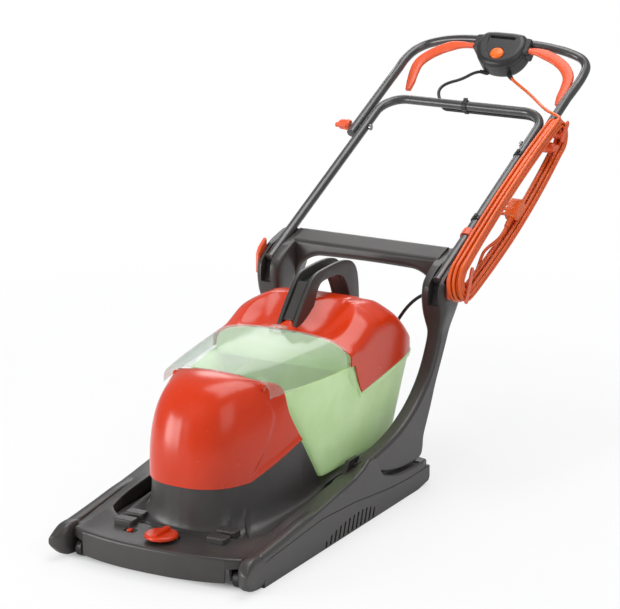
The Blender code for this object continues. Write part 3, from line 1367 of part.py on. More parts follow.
def motor_cable_routes():
    cross = lower_path()
    middle = cross[len(cross) // 2]
    begin = np.array([[-0.0450, middle[1], middle[2]], [0.0, middle[1], middle[2]]])
    leg_end = np.array([tube_point(0.5500)])
    along = np.concatenate([begin, cross[(cross[:, 0] > 0.01)][:-1], leg_end])
    along = along + np.array([0.0, *CABLE_SIDE])
    u, v, n = MOTOR_EXIT
    out_of_box = np.array(face_frame(u, v - 0.01, n)) - np.array(face_frame(u, v, n))
    top = route(
        face_frame(u, v, n),
        out_of_box,
        [
            (-0.0368, 1.0300, 0.6700),
            (-0.0643, 1.0100, 0.6544),
            (-0.0849, 0.9850, 0.6481),
            (-0.0877, 0.9550, 0.6422),
            (-0.0810, 0.9320, 0.6350),
            (-0.0700, 0.9180, 0.6230),
            (-0.0600, 0.9080, 0.6120),
        ],
        along[0] - [FACE_GAP, 0.0, 0.0],
        (1.0, 0.0, 0.0),
        13,
    )
    down = along[-1] - along[-2]
    bend = route(
        stepped(along[-1], down, FACE_GAP),
        down,
        [
            (0.1835, 0.5330, 0.4240),
            (0.1780, 0.5200, 0.4040),
            (0.1640, 0.5060, 0.3820),
            (0.1540, 0.4860, 0.3640),
        ],
        stepped(YOKE_GROMMET, GROMMET_RUN, -FACE_GAP / 2),
        GROMMET_RUN,
        9,
    )
    tail = route(
        stepped(YOKE_GROMMET, GROMMET_RUN, FACE_GAP / 2),
        GROMMET_RUN,
        [
            (0.1220, 0.4330, 0.3350),
            (0.0960, 0.4240, 0.3020),
            (0.0600, 0.4240, 0.2300),
            (0.0440, 0.4200, 0.1500),
            (0.0400, 0.4000, 0.0900),
            (0.0400, 0.3700, 0.0640),
            (0.0400, 0.3480, SADDLE_Z + 0.0006),
        ],
        (0.0400, SADDLE_Y + FACE_GAP / 2, SADDLE_Z),
        (0.0, -1.0, 0.0),
        17,
    )
    hood = route(
        (0.0400, SADDLE_Y - FACE_GAP / 2, SADDLE_Z),
        (0.0, -1.0, 0.0),
        [(0.0400, 0.3000, 0.0605), (0.0400, 0.2720, 0.0700)],
        (0.0400, 0.2300, 0.0770),
        (0.0, -1.0, 0.0),
        7,
        0.0120,
    )
    return along, top, bend, tail, hood


def hank_loop_shape():
    top = np.array(HANK_TOP)
    low = np.array(HANK_LOW)
    axis = (top - low) / np.linalg.norm(top - low)
    side = np.array([-axis[1], axis[0]])
    shares = (0.17, 0.36, 0.55, 0.74, 0.90)

    def bend(centre, radius, first):
        turns = [math.radians(first + 30 * k) for k in range(7)]
        return [centre + radius * (axis * math.sin(t) - side * math.cos(t)) for t in turns]

    def run(share, sag, sign):
        radius = HANK_TOP_R + (HANK_LOW_R - HANK_TOP_R) * share
        return top + (low - top) * share + side * sign * (radius + sag * math.sin(math.pi * share))

    pts = bend(top, HANK_TOP_R, -15)
    pts += [run(share, 0.0084, 1.0) for share in shares]
    pts += bend(low, HANK_LOW_R, 165)
    pts += [run(share, 0.0160, -1.0) for share in shares[::-1]]
    pts = np.array(pts)
    ahead = np.roll(pts, -1, axis=0) - np.roll(pts, 1, axis=0)
    out = np.stack([ahead[:, 1], -ahead[:, 0]], axis=1)
    out /= np.linalg.norm(out, axis=1, keepdims=True)
    flip = np.sign(np.sum(out * (pts - (top + low) / 2.0), axis=1))
    return pts, out * flip[:, None]


def hank_route():
    """Loops of the hank: in and out again at a steady rate, a layer nearer the handle each time."""
    pts, out = hank_loop_shape()
    total = (HANK_LOOPS - 1) * HANK_POINTS + (HANK_END - HANK_START) + 1
    per = (total - 1) / HANK_POINTS / HANK_LAYERS
    path = []
    for i in range(total):
        turn = i / HANK_POINTS
        wave = (turn / per) % 2.0
        inward = wave if wave <= 1.0 else 2.0 - wave
        radial = HANK_STEP * per * (0.5 - inward)
        climbs = [min(1.0, max(0.0, 2.0 * (turn - k * per) + 0.5)) for k in range(1, HANK_LAYERS)]
        x = HANK_X + HANK_PITCH * ((HANK_LAYERS - 1) / 2.0 - sum(climbs))
        k = (i + HANK_START) % HANK_POINTS
        p = pts[k] + out[k] * radial
        path.append((x, p[0], p[1]))
    return np.array(path)


def self_gap(path, radius):
    a = path[:-1]
    b = path[1:]
    fine = []
    for k in range(4):
        fine.append(a + (b - a) * k / 4.0)
    fine = np.stack(fine, axis=1).reshape(-1, 3)
    run = np.concatenate([[0.0], np.cumsum(np.linalg.norm(np.diff(fine, axis=0), axis=1))])
    least = 1.0
    for i in range(0, len(fine)):
        far = np.abs(run - run[i]) > radius * 8.0
        d = np.linalg.norm(fine - fine[i], axis=1)
        least = min(least, float(d[far].min()))
    return least - 2.0 * radius


def build_cable_fittings(hood, yoke):
    bore = MOTOR_CABLE_R + GAP
    ends = [stepped(YOKE_GROMMET, GROMMET_RUN, -0.0040), stepped(YOKE_GROMMET, GROMMET_RUN, 0.0040)]
    grommet = sweep(ends, 0.0064, 14)
    x, y, z = YOKE_GROMMET
    fuse(grommet, [block((x + 0.0020, y - 0.0030, z - 0.0030), (0.1541, y + 0.0030, z + 0.0030))])
    drill = [stepped(YOKE_GROMMET, GROMMET_RUN, -0.0150), stepped(YOKE_GROMMET, GROMMET_RUN, 0.0150)]
    cut(grommet, [sweep(drill, bore, 14)])
    finish(grommet, "cable_grommet", "black", yoke)
    foot = [(y, deck_z(y) + GAP) for y in (0.2180, 0.2400)]
    gland = prism(foot + [(0.2400, 0.0810), (0.2370, 0.0840), (0.2180, 0.0840)], "x", 0.0310, 0.0490)
    cut(gland, [rod((0.0400, 0.0770), "y", bore, 0.2290, 0.250)])
    finish(gland, "cable_gland", "black", hood)


def build_plug(lower, hank):
    x, y, z = PLUG_BASE
    run = np.array([0.0, PLUG_RUN[0], PLUG_RUN[1]])
    run /= np.linalg.norm(run)
    side = np.array([0.0, -run[2], run[1]])

    def at(along, across, out):
        p = np.array([x, y, z]) + run * along + side * across
        return (p[0] + out, p[1], p[2])

    plan = [(0.0000, 0.0050), (0.0030, 0.0085), (0.0140, 0.0120)]
    plan += [(0.0340, 0.0125), (0.0440, 0.0100), (0.0480, 0.0050)]
    outline = plan + [(a, -b) for a, b in plan[::-1]]
    rings = []
    for out, shrink in ((-0.0140, 0.80), (-0.0120, 1.0), (0.0100, 1.0), (0.0125, 0.84)):
        rings.append([at(0.0240 + (a - 0.0240) * shrink, b * shrink, out) for a, b in outline])
    body = rings_body(rings)
    relief = []
    for k in range(4):
        near = -0.0005 - 0.0072 * k
        rib = 0.0062 - 0.0003 * k
        relief += [(rib, near + 0.0030), (rib, near), (0.0046, near - 0.0004), (0.0046, near - 0.0024)]
    rings = [[at(a, r * c, r * q) for c, q in disc(1.0, 8)] for r, a in relief]
    fuse(body, [rings_body(rings)])
    hole = sweep([at(-0.0200, 0.0, 0.0), at(-0.0400, 0.0, 0.0)], MAINS_R + GAP, 10)
    cut(body, [hole])
    pins = []
    for along, across, length in ((0.0370, 0.0, 0.0220), (0.0160, 0.0075, 0.0170), (0.0160, -0.0075, 0.0170)):
        blade = [(-0.0020, -0.0030), (0.0020, -0.0030), (0.0020, 0.0030), (-0.0020, 0.0030)]
        ends = (-0.0130, -0.0144 - length)
        pins.append(rings_body([[at(along + a, across + b, out) for a, b in blade] for out in ends]))
    fuse(body, pins)
    finish(body, "mains_plug", "cable", lower)
    last = hank[-1] - hank[-2]
    toward = np.array(at(1.0, 0.0, 0.0)) - np.array(at(0.0, 0.0, 0.0))
    under = [
        (0.2180, 0.4924, 0.3716),
        (0.2157, 0.5053, 0.3817),
        (0.2155, 0.5217, 0.3984),
        (0.2158, 0.5376, 0.4161),
        (0.2230, 0.5523, 0.4270),
        (0.2320, 0.5680, 0.4360),
        (0.2350, 0.5834, 0.4455),
    ]
    return route(stepped(hank[-1], last, FACE_GAP), last, under, at(-0.0204, 0.0, 0.0), toward, 11)


def build_cords(upper, lower, yoke, frame, hood):
    along, top, bend, tail, short = motor_cable_routes()
    finish(cord(top, MOTOR_CABLE_R), "motor_cable_top", "cord_black", upper)
    finish(cord(along, MOTOR_CABLE_R), "motor_cable_handle", "cord_black", lower)
    finish(cord(bend, MOTOR_CABLE_R), "motor_cable_bend", "cord_black", lower)
    finish(cord(tail, MOTOR_CABLE_R), "motor_cable_tail", "cord_black", yoke)
    finish(cord(short, MOTOR_CABLE_R), "motor_cable_hood", "cord_black", frame)
    build_cable_fittings(hood, yoke)
    hank = hank_route()
    finish(cord(hank, MAINS_R, 1), "mains_hank", "cable", lower)
    u, v, n = MAINS_EXIT
    out_of_box = np.array(face_frame(u, v - 0.01, n)) - np.array(face_frame(u, v, n))
    first = hank[1] - hank[0]
    lead = route(
        face_frame(u, v, n),
        out_of_box,
        [(0.1230, 0.9500, 0.6480), (0.1960, 0.8700, 0.6370)],
        stepped(hank[0], first, -FACE_GAP),
        first,
        15,
    )
    finish(cord(lead, MAINS_R), "mains_lead", "cable", upper)
    end = build_plug(lower, hank)
    finish(cord(end, MAINS_R), "mains_tail", "cable", lower)
    lengths = [float(np.sum(np.linalg.norm(np.diff(p, axis=0), axis=1))) for p in (lead, hank, end)]
    print("least gap of the hank, mm:", round(self_gap(hank, MAINS_R) * 1000.0, 2))
    print("cord lengths, m:", [round(v, 3) for v in lengths], "total", round(sum(lengths), 3))


def assemble():
    reset()
    frame = build_frame()
    build_rail(1.0, "side_rail_right", frame)
    build_rail(-1.0, "side_rail_left", frame)
    build_wheels(frame)
    build_dial(frame)
    hood = build_hood(frame)
    build_cover(hood)
    build_motor(hood)
    build_rotor(hood)
    base = build_box(hood)
    build_lid(base)
    build_carry(base)
    build_window(base)
    yoke = build_yoke(frame)
    build_yoke_fittings(frame, yoke)
    lower = build_lower(yoke)
    upper = build_upper(lower)
    build_knobs(lower)
    build_hooks(lower)
    build_clips(lower)
    build_switch(upper)
    build_bail(upper)
    build_cords(upper, lower, yoke, frame, hood)


assemble()
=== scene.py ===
import json
from math import acos, cos, pi, radians, sin, sqrt, tan
import bpy
import bmesh
import numpy as np
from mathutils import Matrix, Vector

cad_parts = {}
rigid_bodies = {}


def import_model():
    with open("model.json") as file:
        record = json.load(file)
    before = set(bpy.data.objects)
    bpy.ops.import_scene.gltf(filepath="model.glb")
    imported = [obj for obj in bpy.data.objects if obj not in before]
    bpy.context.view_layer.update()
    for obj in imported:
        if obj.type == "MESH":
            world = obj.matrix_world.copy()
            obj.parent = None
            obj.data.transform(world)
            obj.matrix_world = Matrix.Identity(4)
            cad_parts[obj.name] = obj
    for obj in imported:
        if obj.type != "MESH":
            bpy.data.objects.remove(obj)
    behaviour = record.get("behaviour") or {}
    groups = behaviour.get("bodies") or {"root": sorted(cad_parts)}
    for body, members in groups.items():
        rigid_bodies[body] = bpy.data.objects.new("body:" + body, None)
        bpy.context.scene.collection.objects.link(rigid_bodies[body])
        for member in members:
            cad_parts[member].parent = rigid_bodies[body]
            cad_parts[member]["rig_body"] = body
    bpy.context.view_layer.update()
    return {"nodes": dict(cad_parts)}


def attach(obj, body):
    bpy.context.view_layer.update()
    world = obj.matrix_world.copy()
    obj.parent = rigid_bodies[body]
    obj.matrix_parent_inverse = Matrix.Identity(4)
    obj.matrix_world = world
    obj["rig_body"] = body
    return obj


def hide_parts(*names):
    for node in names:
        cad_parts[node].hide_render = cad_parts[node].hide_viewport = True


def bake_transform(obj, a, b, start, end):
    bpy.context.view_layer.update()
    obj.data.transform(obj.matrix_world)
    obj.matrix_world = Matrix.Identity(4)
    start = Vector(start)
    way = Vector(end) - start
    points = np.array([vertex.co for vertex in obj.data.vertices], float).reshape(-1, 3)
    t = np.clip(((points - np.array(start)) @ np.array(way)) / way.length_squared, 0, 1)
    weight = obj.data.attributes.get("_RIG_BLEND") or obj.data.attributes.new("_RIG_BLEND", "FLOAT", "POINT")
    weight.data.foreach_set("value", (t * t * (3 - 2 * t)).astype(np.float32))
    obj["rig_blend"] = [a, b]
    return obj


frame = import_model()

scene = bpy.context.scene
shift = np.array([0, -0.3715, 0])  # from the drawing's origin, the deck's middle, to the model's own middle
bothSides = (-1, 1)


class Wire:  # a shader socket that can be added, multiplied and compared
    def __init__(self, paint, socket):
        self.paint = paint
        self.socket = socket

    def sum(self, operation, a, b=None):
        values = {0: a} if b is None else {0: a, 1: b}
        return self.paint.node("ShaderNodeMath", {"operation": operation}, values)[0]

    def __add__(self, other):
        return self.sum("ADD", self, other)

    def __radd__(self, other):
        return self.sum("ADD", other, self)

    def __sub__(self, other):
        return self.sum("SUBTRACT", self, other)

    def __rsub__(self, other):
        return self.sum("SUBTRACT", other, self)

    def __mul__(self, other):
        return self.sum("MULTIPLY", self, other)

    def __pow__(self, other):
        return self.sum("POWER", self, other)

    def size(self):
        return self.sum("ABSOLUTE", self)

    def clamp(self):
        return self.sum("MAXIMUM", self.sum("MINIMUM", self, 1), 0)

    def over(self, low, high):
        return ((self - low) * (1 / (high - low))).clamp()


class Paint:  # the nodes of one material, or of the world
    def __init__(self, name, owner=None, **sockets):
        self.material = owner or bpy.data.materials.new(name)
        self.material.use_nodes = True
        self.tree = self.material.node_tree
        self.shader = self.tree.nodes.get("Principled BSDF")
        self.set(**sockets)

    def put(self, target, value):
        if isinstance(value, Wire):
            self.tree.links.new(value.socket, target)
        elif target.type == "RGBA" and len(value) == 3:
            target.default_value = (*value, 1)
        else:
            target.default_value = value

    def node(self, kind, settings=None, values=None):
        made = self.tree.nodes.new(kind)
        for key, value in (settings or {}).items():
            setattr(made, key, value)
        for key, value in (values or {}).items():
            self.put(made.inputs[key], value)
        return [Wire(self, socket) for socket in made.outputs]

    def noise(self, scale, detail=2, rough=0.5, stretch=(1, 1, 1)):
        where = self.node("ShaderNodeTexCoord")[3]
        where = self.node("ShaderNodeMapping", None, {"Vector": where, "Scale": stretch})[0]
        sockets = {"Vector": where, "Scale": scale, "Detail": detail, "Roughness": rough}
        return self.node("ShaderNodeTexNoise", None, sockets)[0]

    def mix(self, share, a, b):
        return self.node("ShaderNodeMix", {"data_type": "RGBA"}, {0: share, 6: a, 7: b})[2]

    def bump(self, height, strength, distance=0.001):
        sockets = {"Height": height, "Strength": strength, "Distance": distance}
        self.set(Normal=self.node("ShaderNodeBump", None, sockets)[0])

    def set(self, **sockets):
        for key, value in sockets.items():
            self.put(self.shader.inputs[key.replace("_", " ")], value)


def srgb(r, g, b):  # a colour as a picture editor shows it, to the light it stands for
    c = np.array([r, g, b]) / 255
    return tuple(np.where(c < 0.04045, c / 12.92, ((c + 0.055) / 1.055) ** 2.4))


def mouldedPlastic(name, look):  # plain colour with a slow drift, a fine grain and rubbed patches
    paint = Paint(name, Specular_IOR_Level=look.get("shine", 0.5), Coat_Roughness=0.12)
    drift = paint.noise(9, 3)
    grain = paint.noise(look["grain"], 2, 0.6)
    rub = paint.noise(34, 5, 0.65).over(0.58, 0.74)
    deep = tuple(v * look.get("dark", 0.9) for v in look["colour"])
    pale = tuple(min(1, v * look.get("pale", 1.08) + 0.002) for v in look["colour"])
    rough = look["rough"] + (drift - 0.5) * 0.06 + rub * look.get("rub", 0.05) + (grain - 0.5) * 0.1
    paint.set(Base_Color=paint.mix(drift.over(0.32, 0.68), deep, pale), Roughness=rough)
    paint.bump(grain, look["bump"], 0.0004)
    return paint


looks = {
    "charcoal": {"colour": srgb(57, 54, 52), "rough": 0.36, "grain": 1500, "bump": 0.16, "rub": -0.08},
    "darkPlastic": {"colour": srgb(38, 37, 37), "rough": 0.38, "grain": 1600, "bump": 0.14, "rub": -0.06},
    "orange": {"colour": srgb(204, 50, 2), "rough": 0.24, "grain": 420, "bump": 0.02, "shine": 0.44,
               "dark": 0.95, "pale": 1.03},
    "button": {"colour": srgb(240, 110, 30), "rough": 0.28, "grain": 900, "bump": 0.03, "pale": 1.1},
    "gloss": {"colour": srgb(28, 28, 29), "rough": 0.22, "grain": 900, "bump": 0.03},
    "salmon": {"colour": srgb(222, 88, 48), "rough": 0.3, "grain": 1300, "bump": 0.04, "dark": 0.95,
               "pale": 1.04},
    "cord": {"colour": srgb(222, 92, 26), "rough": 0.34, "grain": 900, "bump": 0.02, "dark": 0.94,
             "pale": 1.05},
    "blackCord": {"colour": srgb(26, 26, 27), "rough": 0.46, "grain": 900, "bump": 0.1},
    "rubber": {"colour": srgb(30, 30, 31), "rough": 0.55, "grain": 1200, "bump": 0.14},
}
paints = {name: mouldedPlastic(name, look) for name, look in looks.items()}


def tubePaint():  # satin paint on drawn steel tube, faint streaks along it
    paint = Paint("tubePaint", Metallic=0.55, Coat_Weight=0.35, Coat_Roughness=0.1)
    streak = paint.noise(26, 3, 0.5)
    fleck = paint.noise(2600, 1)
    paint.set(Base_Color=paint.mix(streak.over(0.3, 0.7), srgb(72, 71, 71), srgb(82, 80, 79)),
              Roughness=0.3 + (streak - 0.5) * 0.08 + (fleck - 0.5) * 0.04)
    paint.bump(fleck, 0.02, 0.0002)
    return paint


def steelPaint():  # zinc-plated steel, brushed, with dull spots
    paint = Paint("steel", Metallic=1)
    brush = paint.noise(900, 2, 0.5, (0.15, 1, 1))
    dull = paint.noise(120, 4).over(0.55, 0.75)
    paint.set(Base_Color=paint.mix(dull, srgb(176, 176, 172), srgb(128, 126, 120)),
              Roughness=0.28 + dull * 0.25 + (brush - 0.5) * 0.1)
    paint.bump(brush, 0.08, 0.0003)
    return paint


def copperPaint():  # enamelled copper winding
    paint = Paint("winding", Metallic=0.9)
    wire = paint.noise(700, 1, 0.5, (1, 1, 0.1))
    paint.set(Base_Color=paint.mix(wire, srgb(150, 70, 32), srgb(196, 108, 58)), Roughness=0.3 + wire * 0.12)
    paint.bump(wire, 0.3, 0.0006)
    return paint


def boxPaint():  # milky green polypropylene that lets light through, with a faint painted glow from its emission
    # the emission is painted light: a faint green glow standing in for light coming through the walls
    paint = Paint("milkyGreen", Subsurface_Weight=0.35, Subsurface_Radius=(0.01, 0.014, 0.008), IOR=1.49,
                  Subsurface_Scale=1, Emission_Color=(0.56, 0.78, 0.4), Emission_Strength=0.1)
    cloud = paint.noise(14, 3)
    grain = paint.noise(900, 2)
    face = paint.node("ShaderNodeLayerWeight", None, {"Blend": 0.35})[1]
    paint.set(Base_Color=paint.mix(cloud.over(0.3, 0.7), srgb(194, 226, 164), srgb(208, 236, 182)),
              Roughness=0.34 + (grain - 0.5) * 0.1,
              Alpha=(0.74 + face * 0.22 + (cloud - 0.5) * 0.1).clamp())
    paint.bump(grain, 0.05, 0.0003)
    return paint


def clearPaint():  # clear polycarbonate, seen mostly by its glints and its edges; the whiter edges are a painted reflection and the streaks are painted highlights
    paint = Paint("clearWindow", Base_Color=srgb(184, 197, 186), IOR=1.52)
    face = paint.node("ShaderNodeLayerWeight", None, {"Blend": 0.42})[1]
    ripple = paint.noise(26, 2)
    streak = paint.noise(9, 2, 0.5, (1, 3.2, 1)).over(0.54, 0.74)
    # painted reflection and highlight: the whitish base shows more at grazing angles and along the streaks
    paint.set(Alpha=(0.1 + face ** 2 * 0.46 + streak * 0.05).clamp(), Roughness=0.06 + ripple * 0.05)
    paint.bump(ripple, 0.02, 0.004)
    return paint


paints.update(tube=tubePaint(), steel=steelPaint(), winding=copperPaint(), green=boxPaint(),
              clear=clearPaint())

finishes = {
    "charcoal": "glide_frame side_rail_right side_rail_left hood yoke carry_handle pointer_track box_release",
    "darkPlastic": "switch_box_front switch_box_rear cable_clip_lower cable_clip_upper cable_clip_cross "
                   "front_wheel_right front_wheel_left motor_housing motor_end_cap switch_unit "
                   "terminal_block impeller blade_spacer",
    "orange": "motor_cover grass_box_lid height_dial height_pointer lock_button",
    "salmon": "start_bail wing_knob_right wing_knob_left cable_hook_upper cable_hook_lower "
              "release_lever_right release_lever_left",
    "cord": "mains_plug mains_hank mains_lead mains_tail",
    "blackCord": "motor_cable_top motor_cable_handle motor_cable_bend motor_cable_tail motor_cable_hood",
    "rubber": "cable_grommet cable_gland",
    "tube": "upper_handle lower_handle",
    "steel": "cutter_blade blade_nut lower_bearing upper_bearing yoke_pin_right yoke_pin_left "
             "handle_pin_right handle_pin_left knob_bolt_right knob_bolt_left motor_rotor",
    "winding": "motor_stator",
    "green": "grass_box_base",
    "clear": "window",
}
finishOf = {node: finish for finish, nodes in finishes.items() for node in nodes.split()}
for node, finish in finishOf.items():
    mesh = frame["nodes"][node].data
    mesh.materials.clear()
    mesh.materials.append(paints[finish].material)
print("materials on", len(finishOf), "nodes")


# shapes made from numbers
def mm(rows):
    return np.array(rows, float) / 1000


def unit(v):
    v = np.asarray(v, float)
    return v / np.linalg.norm(v, axis=-1, keepdims=True)


def circle(count):
    return np.linspace(0, 2 * pi, count, endpoint=False)


def ease(x):  # 0 to 1 with soft ends
    x = np.clip(x, 0, 1)
    return x * x * (3 - 2 * x)


def superCurve(t, power):  # unit superellipse
    c, s = np.cos(t), np.sin(t)
    return np.sign(c) * np.abs(c) ** (2 / power), np.sign(s) * np.abs(s) ** (2 / power)


def through(xs, ys, at):  # smooth curve through the points (xs, ys), read at each value
    xs, ys = np.asarray(xs, float), np.asarray(ys, float)
    slope = np.gradient(ys, xs)
    at = np.clip(at, xs[0], xs[-1])
    i = np.clip(np.searchsorted(xs, at, side="right") - 1, 0, len(xs) - 2)
    h = xs[i + 1] - xs[i]
    s = (at - xs[i]) / h
    out = (2 * s**3 - 3 * s**2 + 1) * ys[i] + (s**3 - 2 * s**2 + s) * h * slope[i]
    return out + (3 * s**2 - 2 * s**3) * ys[i + 1] + (s**3 - s**2) * h * slope[i + 1]


def softRows(rows, at):  # a table's columns, read smoothly between its rows
    return np.stack([through(np.arange(len(rows)), column, at) for column in rows.T], axis=1)


def runLength(points, power=1):  # distance along a broken line, each step raised to the power
    return np.concatenate([[0], np.cumsum(np.linalg.norm(np.diff(points, axis=0), axis=1) ** power)])


def readAt(points, where, at):  # a broken line's columns, read at new places
    return np.stack([np.interp(at, where, column) for column in points.T], axis=1)


def evenPath(points, count, closed=False):  # the same broken line, spaced evenly
    points = np.asarray(points, float)
    run = runLength(points)
    return readAt(points, run, np.linspace(0, run[-1], count, endpoint=not closed))


def smoothPath(points, count, closed=False):  # smooth curve through the points, spaced evenly
    points = np.asarray(points, float)
    if closed:
        points = np.concatenate([points[-3:], points, points[:3]])
    t = runLength(points, 0.5)
    at = np.linspace(t[3], t[-3], 1500) if closed else np.linspace(0, t[-1], 600)
    return evenPath(np.stack([through(t, column, at) for column in points.T], axis=1), count, closed)


def mirrored(rows, flips):  # the other half of a closed table, in reverse
    return np.concatenate([rows, rows[-2:0:-1] * np.asarray(flips, float)])


def insetPlan(plan, inset):  # closed plan moved inwards along its own normals
    plan = np.asarray(plan, float)
    after = np.roll(plan, -1, axis=0)
    ahead = after - np.roll(plan, 1, axis=0)
    out = unit(np.stack([ahead[:, 1], -ahead[:, 0]], axis=1))
    area = np.sum(plan[:, 0] * after[:, 1] - after[:, 0] * plan[:, 1])
    return plan - out * np.sign(area) * inset


def roundedBox(low, high, radius, steps=6):
    t = np.radians(np.linspace(0, 90, steps + 1))
    corners = [(high[0] - radius, high[1] - radius, 0), (low[0] + radius, high[1] - radius, 90),
               (low[0] + radius, low[1] + radius, 180), (high[0] - radius, low[1] + radius, 270)]
    return np.concatenate([np.column_stack([cx + radius * np.cos(t + radians(start)),
                                            cy + radius * np.sin(t + radians(start))])
                           for cx, cy, start in corners])


def roundedLoop(points, radius, steps=5):
    # closed plan with each corner replaced by an arc of the given radius, or less where the sides are short
    pts = np.asarray(points, float)
    before, after = np.roll(pts, 1, axis=0), np.roll(pts, -1, axis=0)
    a, b = unit(before - pts), unit(after - pts)
    half = np.arccos(np.clip(np.sum(a * b, axis=1), -0.9999, 0.9999)) / 2
    room = 0.45 * np.minimum(np.linalg.norm(before - pts, axis=1), np.linalg.norm(after - pts, axis=1))
    back = np.minimum(radius / np.tan(half), room)[:, None, None]
    t = np.linspace(0, 1, steps)[None, :, None]
    corner = pts[:, None]
    curve = (1 - t) ** 2 * (corner + a[:, None] * back) + 2 * t * (1 - t) * corner
    return (curve + t**2 * (corner + b[:, None] * back)).reshape(-1, 2)


def plateRings(plan, axis, low, high, radius, steps=4):
    # the plan at levels from low to high, drawn in at both ends by a quarter circle
    t = np.linspace(0, pi / 2, steps + 1)
    first = [(low + radius * (1 - cos(a)), radius * (1 - sin(a))) for a in t]
    levels = first + [(low + high - z, inset) for z, inset in first[::-1]]
    order = {"x": [1, 2, 0], "y": [0, 2, 1], "z": [0, 1, 2]}[axis]
    rings = np.zeros((len(levels), len(plan), 3))
    for ring, (level, inset) in zip(rings, levels):
        ring[:, order[:2]] = insetPlan(plan, inset)
        ring[:, order[2]] = level
    return rings


def turnedRings(profile, centre, axis, sides=48):  # radius and height pairs, spun round an axis
    a = circle(sides)
    profile = np.asarray(profile, float)
    first, second, third = {"x": (1, 2, 0), "y": (2, 0, 1), "z": (0, 1, 2)}[axis]
    rings = np.zeros((len(profile), sides, 3))
    rings[:, :, first] = profile[:, :1] * np.cos(a)
    rings[:, :, second] = profile[:, :1] * np.sin(a)
    rings[:, :, third] = profile[:, 1:2]
    return rings + np.asarray(centre, float)


def acrossPath(path, normal):  # two unit vectors across the path at each point
    along = unit(np.gradient(path, axis=0))
    side = unit(np.cross(along, normal))
    return side[:, None], np.cross(side, along)[:, None]


def tubeGrid(path, radius, sides, normal=(0, 0, 1)):
    # ring at each point: point + r (cos a * side + sin a * up), with side = tangent x normal
    path = np.asarray(path, float)
    side, up = acrossPath(path, normal)
    a = circle(sides)[None, :, None]
    radius = np.broadcast_to(radius, (len(path),))[:, None, None]
    return path[:, None] + radius * (np.cos(a) * side + np.sin(a) * up)


def withEnds(path, rings, share, out):  # the rings with a smaller one beyond each end
    first = path[0] + (rings[0] - path[0]) * share + unit(path[0] - path[1]) * out
    last = path[-1] + (rings[-1] - path[-1]) * share + unit(path[-1] - path[-2]) * out
    return np.concatenate([[first], rings, [last]])


def surfaceNormals(grid):
    n = np.cross(np.gradient(grid, axis=1), np.gradient(grid, axis=0))
    return n / np.maximum(np.linalg.norm(n, axis=2, keepdims=True), 1e-9)


def gridFaces(rows, cols, wrapCols=True, wrapRows=False):
    r = np.arange(rows if wrapRows else rows - 1)[:, None]
    c = np.arange(cols if wrapCols else cols - 1)[None, :]
    r2, c2 = (r + 1) % rows, (c + 1) % cols
    return np.stack([r * cols + c, r * cols + c2, r2 * cols + c2, r2 * cols + c], axis=-1).reshape(-1, 4)


# pieces made from shapes
def camel(node):  # a node's name as a piece's
    first, *rest = node.split("_")
    return first + "".join(word.capitalize() for word in rest)


def link(name, mesh):
    piece = bpy.data.objects.new(name, mesh)
    scene.collection.objects.link(piece)
    return piece


def evaluated(piece):
    bpy.context.view_layer.update()
    return bpy.data.meshes.new_from_object(piece.evaluated_get(bpy.context.evaluated_depsgraph_get()))


def reshape(mesh, *changes):  # the mesh after each change to its bmesh
    bm = bmesh.new()
    bm.from_mesh(mesh)
    for change in changes:
        change(bm)
    bm.to_mesh(mesh)
    bm.free()


def faceOut(bm):
    bmesh.ops.recalc_face_normals(bm, faces=bm.faces)
    if bm.calc_volume(signed=True) < 0:
        bmesh.ops.reverse_faces(bm, faces=bm.faces)


def merge(bm, distance=0.00001):
    bmesh.ops.remove_doubles(bm, verts=bm.verts, dist=distance)


def dress(piece, finish, body, replaced=(), crease=40):  # material, smoothing, body and stand-in
    piece.data.materials.clear()
    piece.data.materials.append(paints[finish].material)
    piece.data.shade_smooth()
    piece.data.set_sharp_from_angle(angle=radians(crease))
    if body:
        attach(piece, body)
    if replaced:
        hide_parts(*replaced)
    return piece


def roundEdges(piece, width, segments=3, angle=38):
    bevel = piece.modifiers.new("edges", "BEVEL")
    bevel.width, bevel.segments, bevel.limit_method = width, segments, "ANGLE"
    bevel.angle_limit = radians(angle)
    piece.modifiers.new("normals", "WEIGHTED_NORMAL").keep_sharp = True


def solid(name, points, faces, finish=None, body=None, replaced=(), bevel=0, crease=40):
    # closed piece in the drawing's frame; it is dressed unless it still has to be cut or joined
    mesh = bpy.data.meshes.new(name)
    mesh.from_pydata((np.asarray(points, float) + shift).tolist(), [], [list(map(int, f)) for f in faces])
    mesh.validate()
    reshape(mesh, faceOut)
    piece = link(name, mesh)
    if bevel:
        roundEdges(piece, bevel)
    return dress(piece, finish, body, replaced, crease) if body else piece


def wallPiece(name, grid, depth, *rest):
    # the grid and a second one a wall's depth behind it, joined round their rim
    rows, cols = grid.shape[:2]
    inner = grid - surfaceNormals(grid) * depth
    total = rows * cols
    outer = gridFaces(rows, cols, False)
    rim = np.concatenate([np.arange(cols), np.arange(1, rows) * cols + cols - 1,
                          (rows - 1) * cols + np.arange(cols - 2, -1, -1), np.arange(rows - 2, 0, -1) * cols])
    after = np.roll(rim, -1)
    edge = np.stack([after, rim, rim + total, after + total], axis=1)
    points = np.concatenate([grid.reshape(-1, 3), inner.reshape(-1, 3)])
    return solid(name, points, np.concatenate([outer, outer[:, ::-1] + total, edge]), *rest)


def ringPiece(name, rings, finish=None, body=None, replaced=(), loop=False, crease=40):
    # closed rings joined one to the next, capped unless they come round again
    rings = np.asarray(rings, float)
    rows, cols = rings.shape[:2]
    faces = gridFaces(rows, cols, True, loop).tolist()
    if not loop:
        faces += [list(range(cols))[::-1], list(range((rows - 1) * cols, rows * cols))]
    return solid(name, rings.reshape(-1, 3), faces, finish, body, replaced, 0, crease)


def slab(plan, axis, first, last, radius, steps=4):  # plate between two levels, its rims rounded
    return ringPiece("slab", plateRings(plan, axis, *sorted((first, last)), radius, steps))


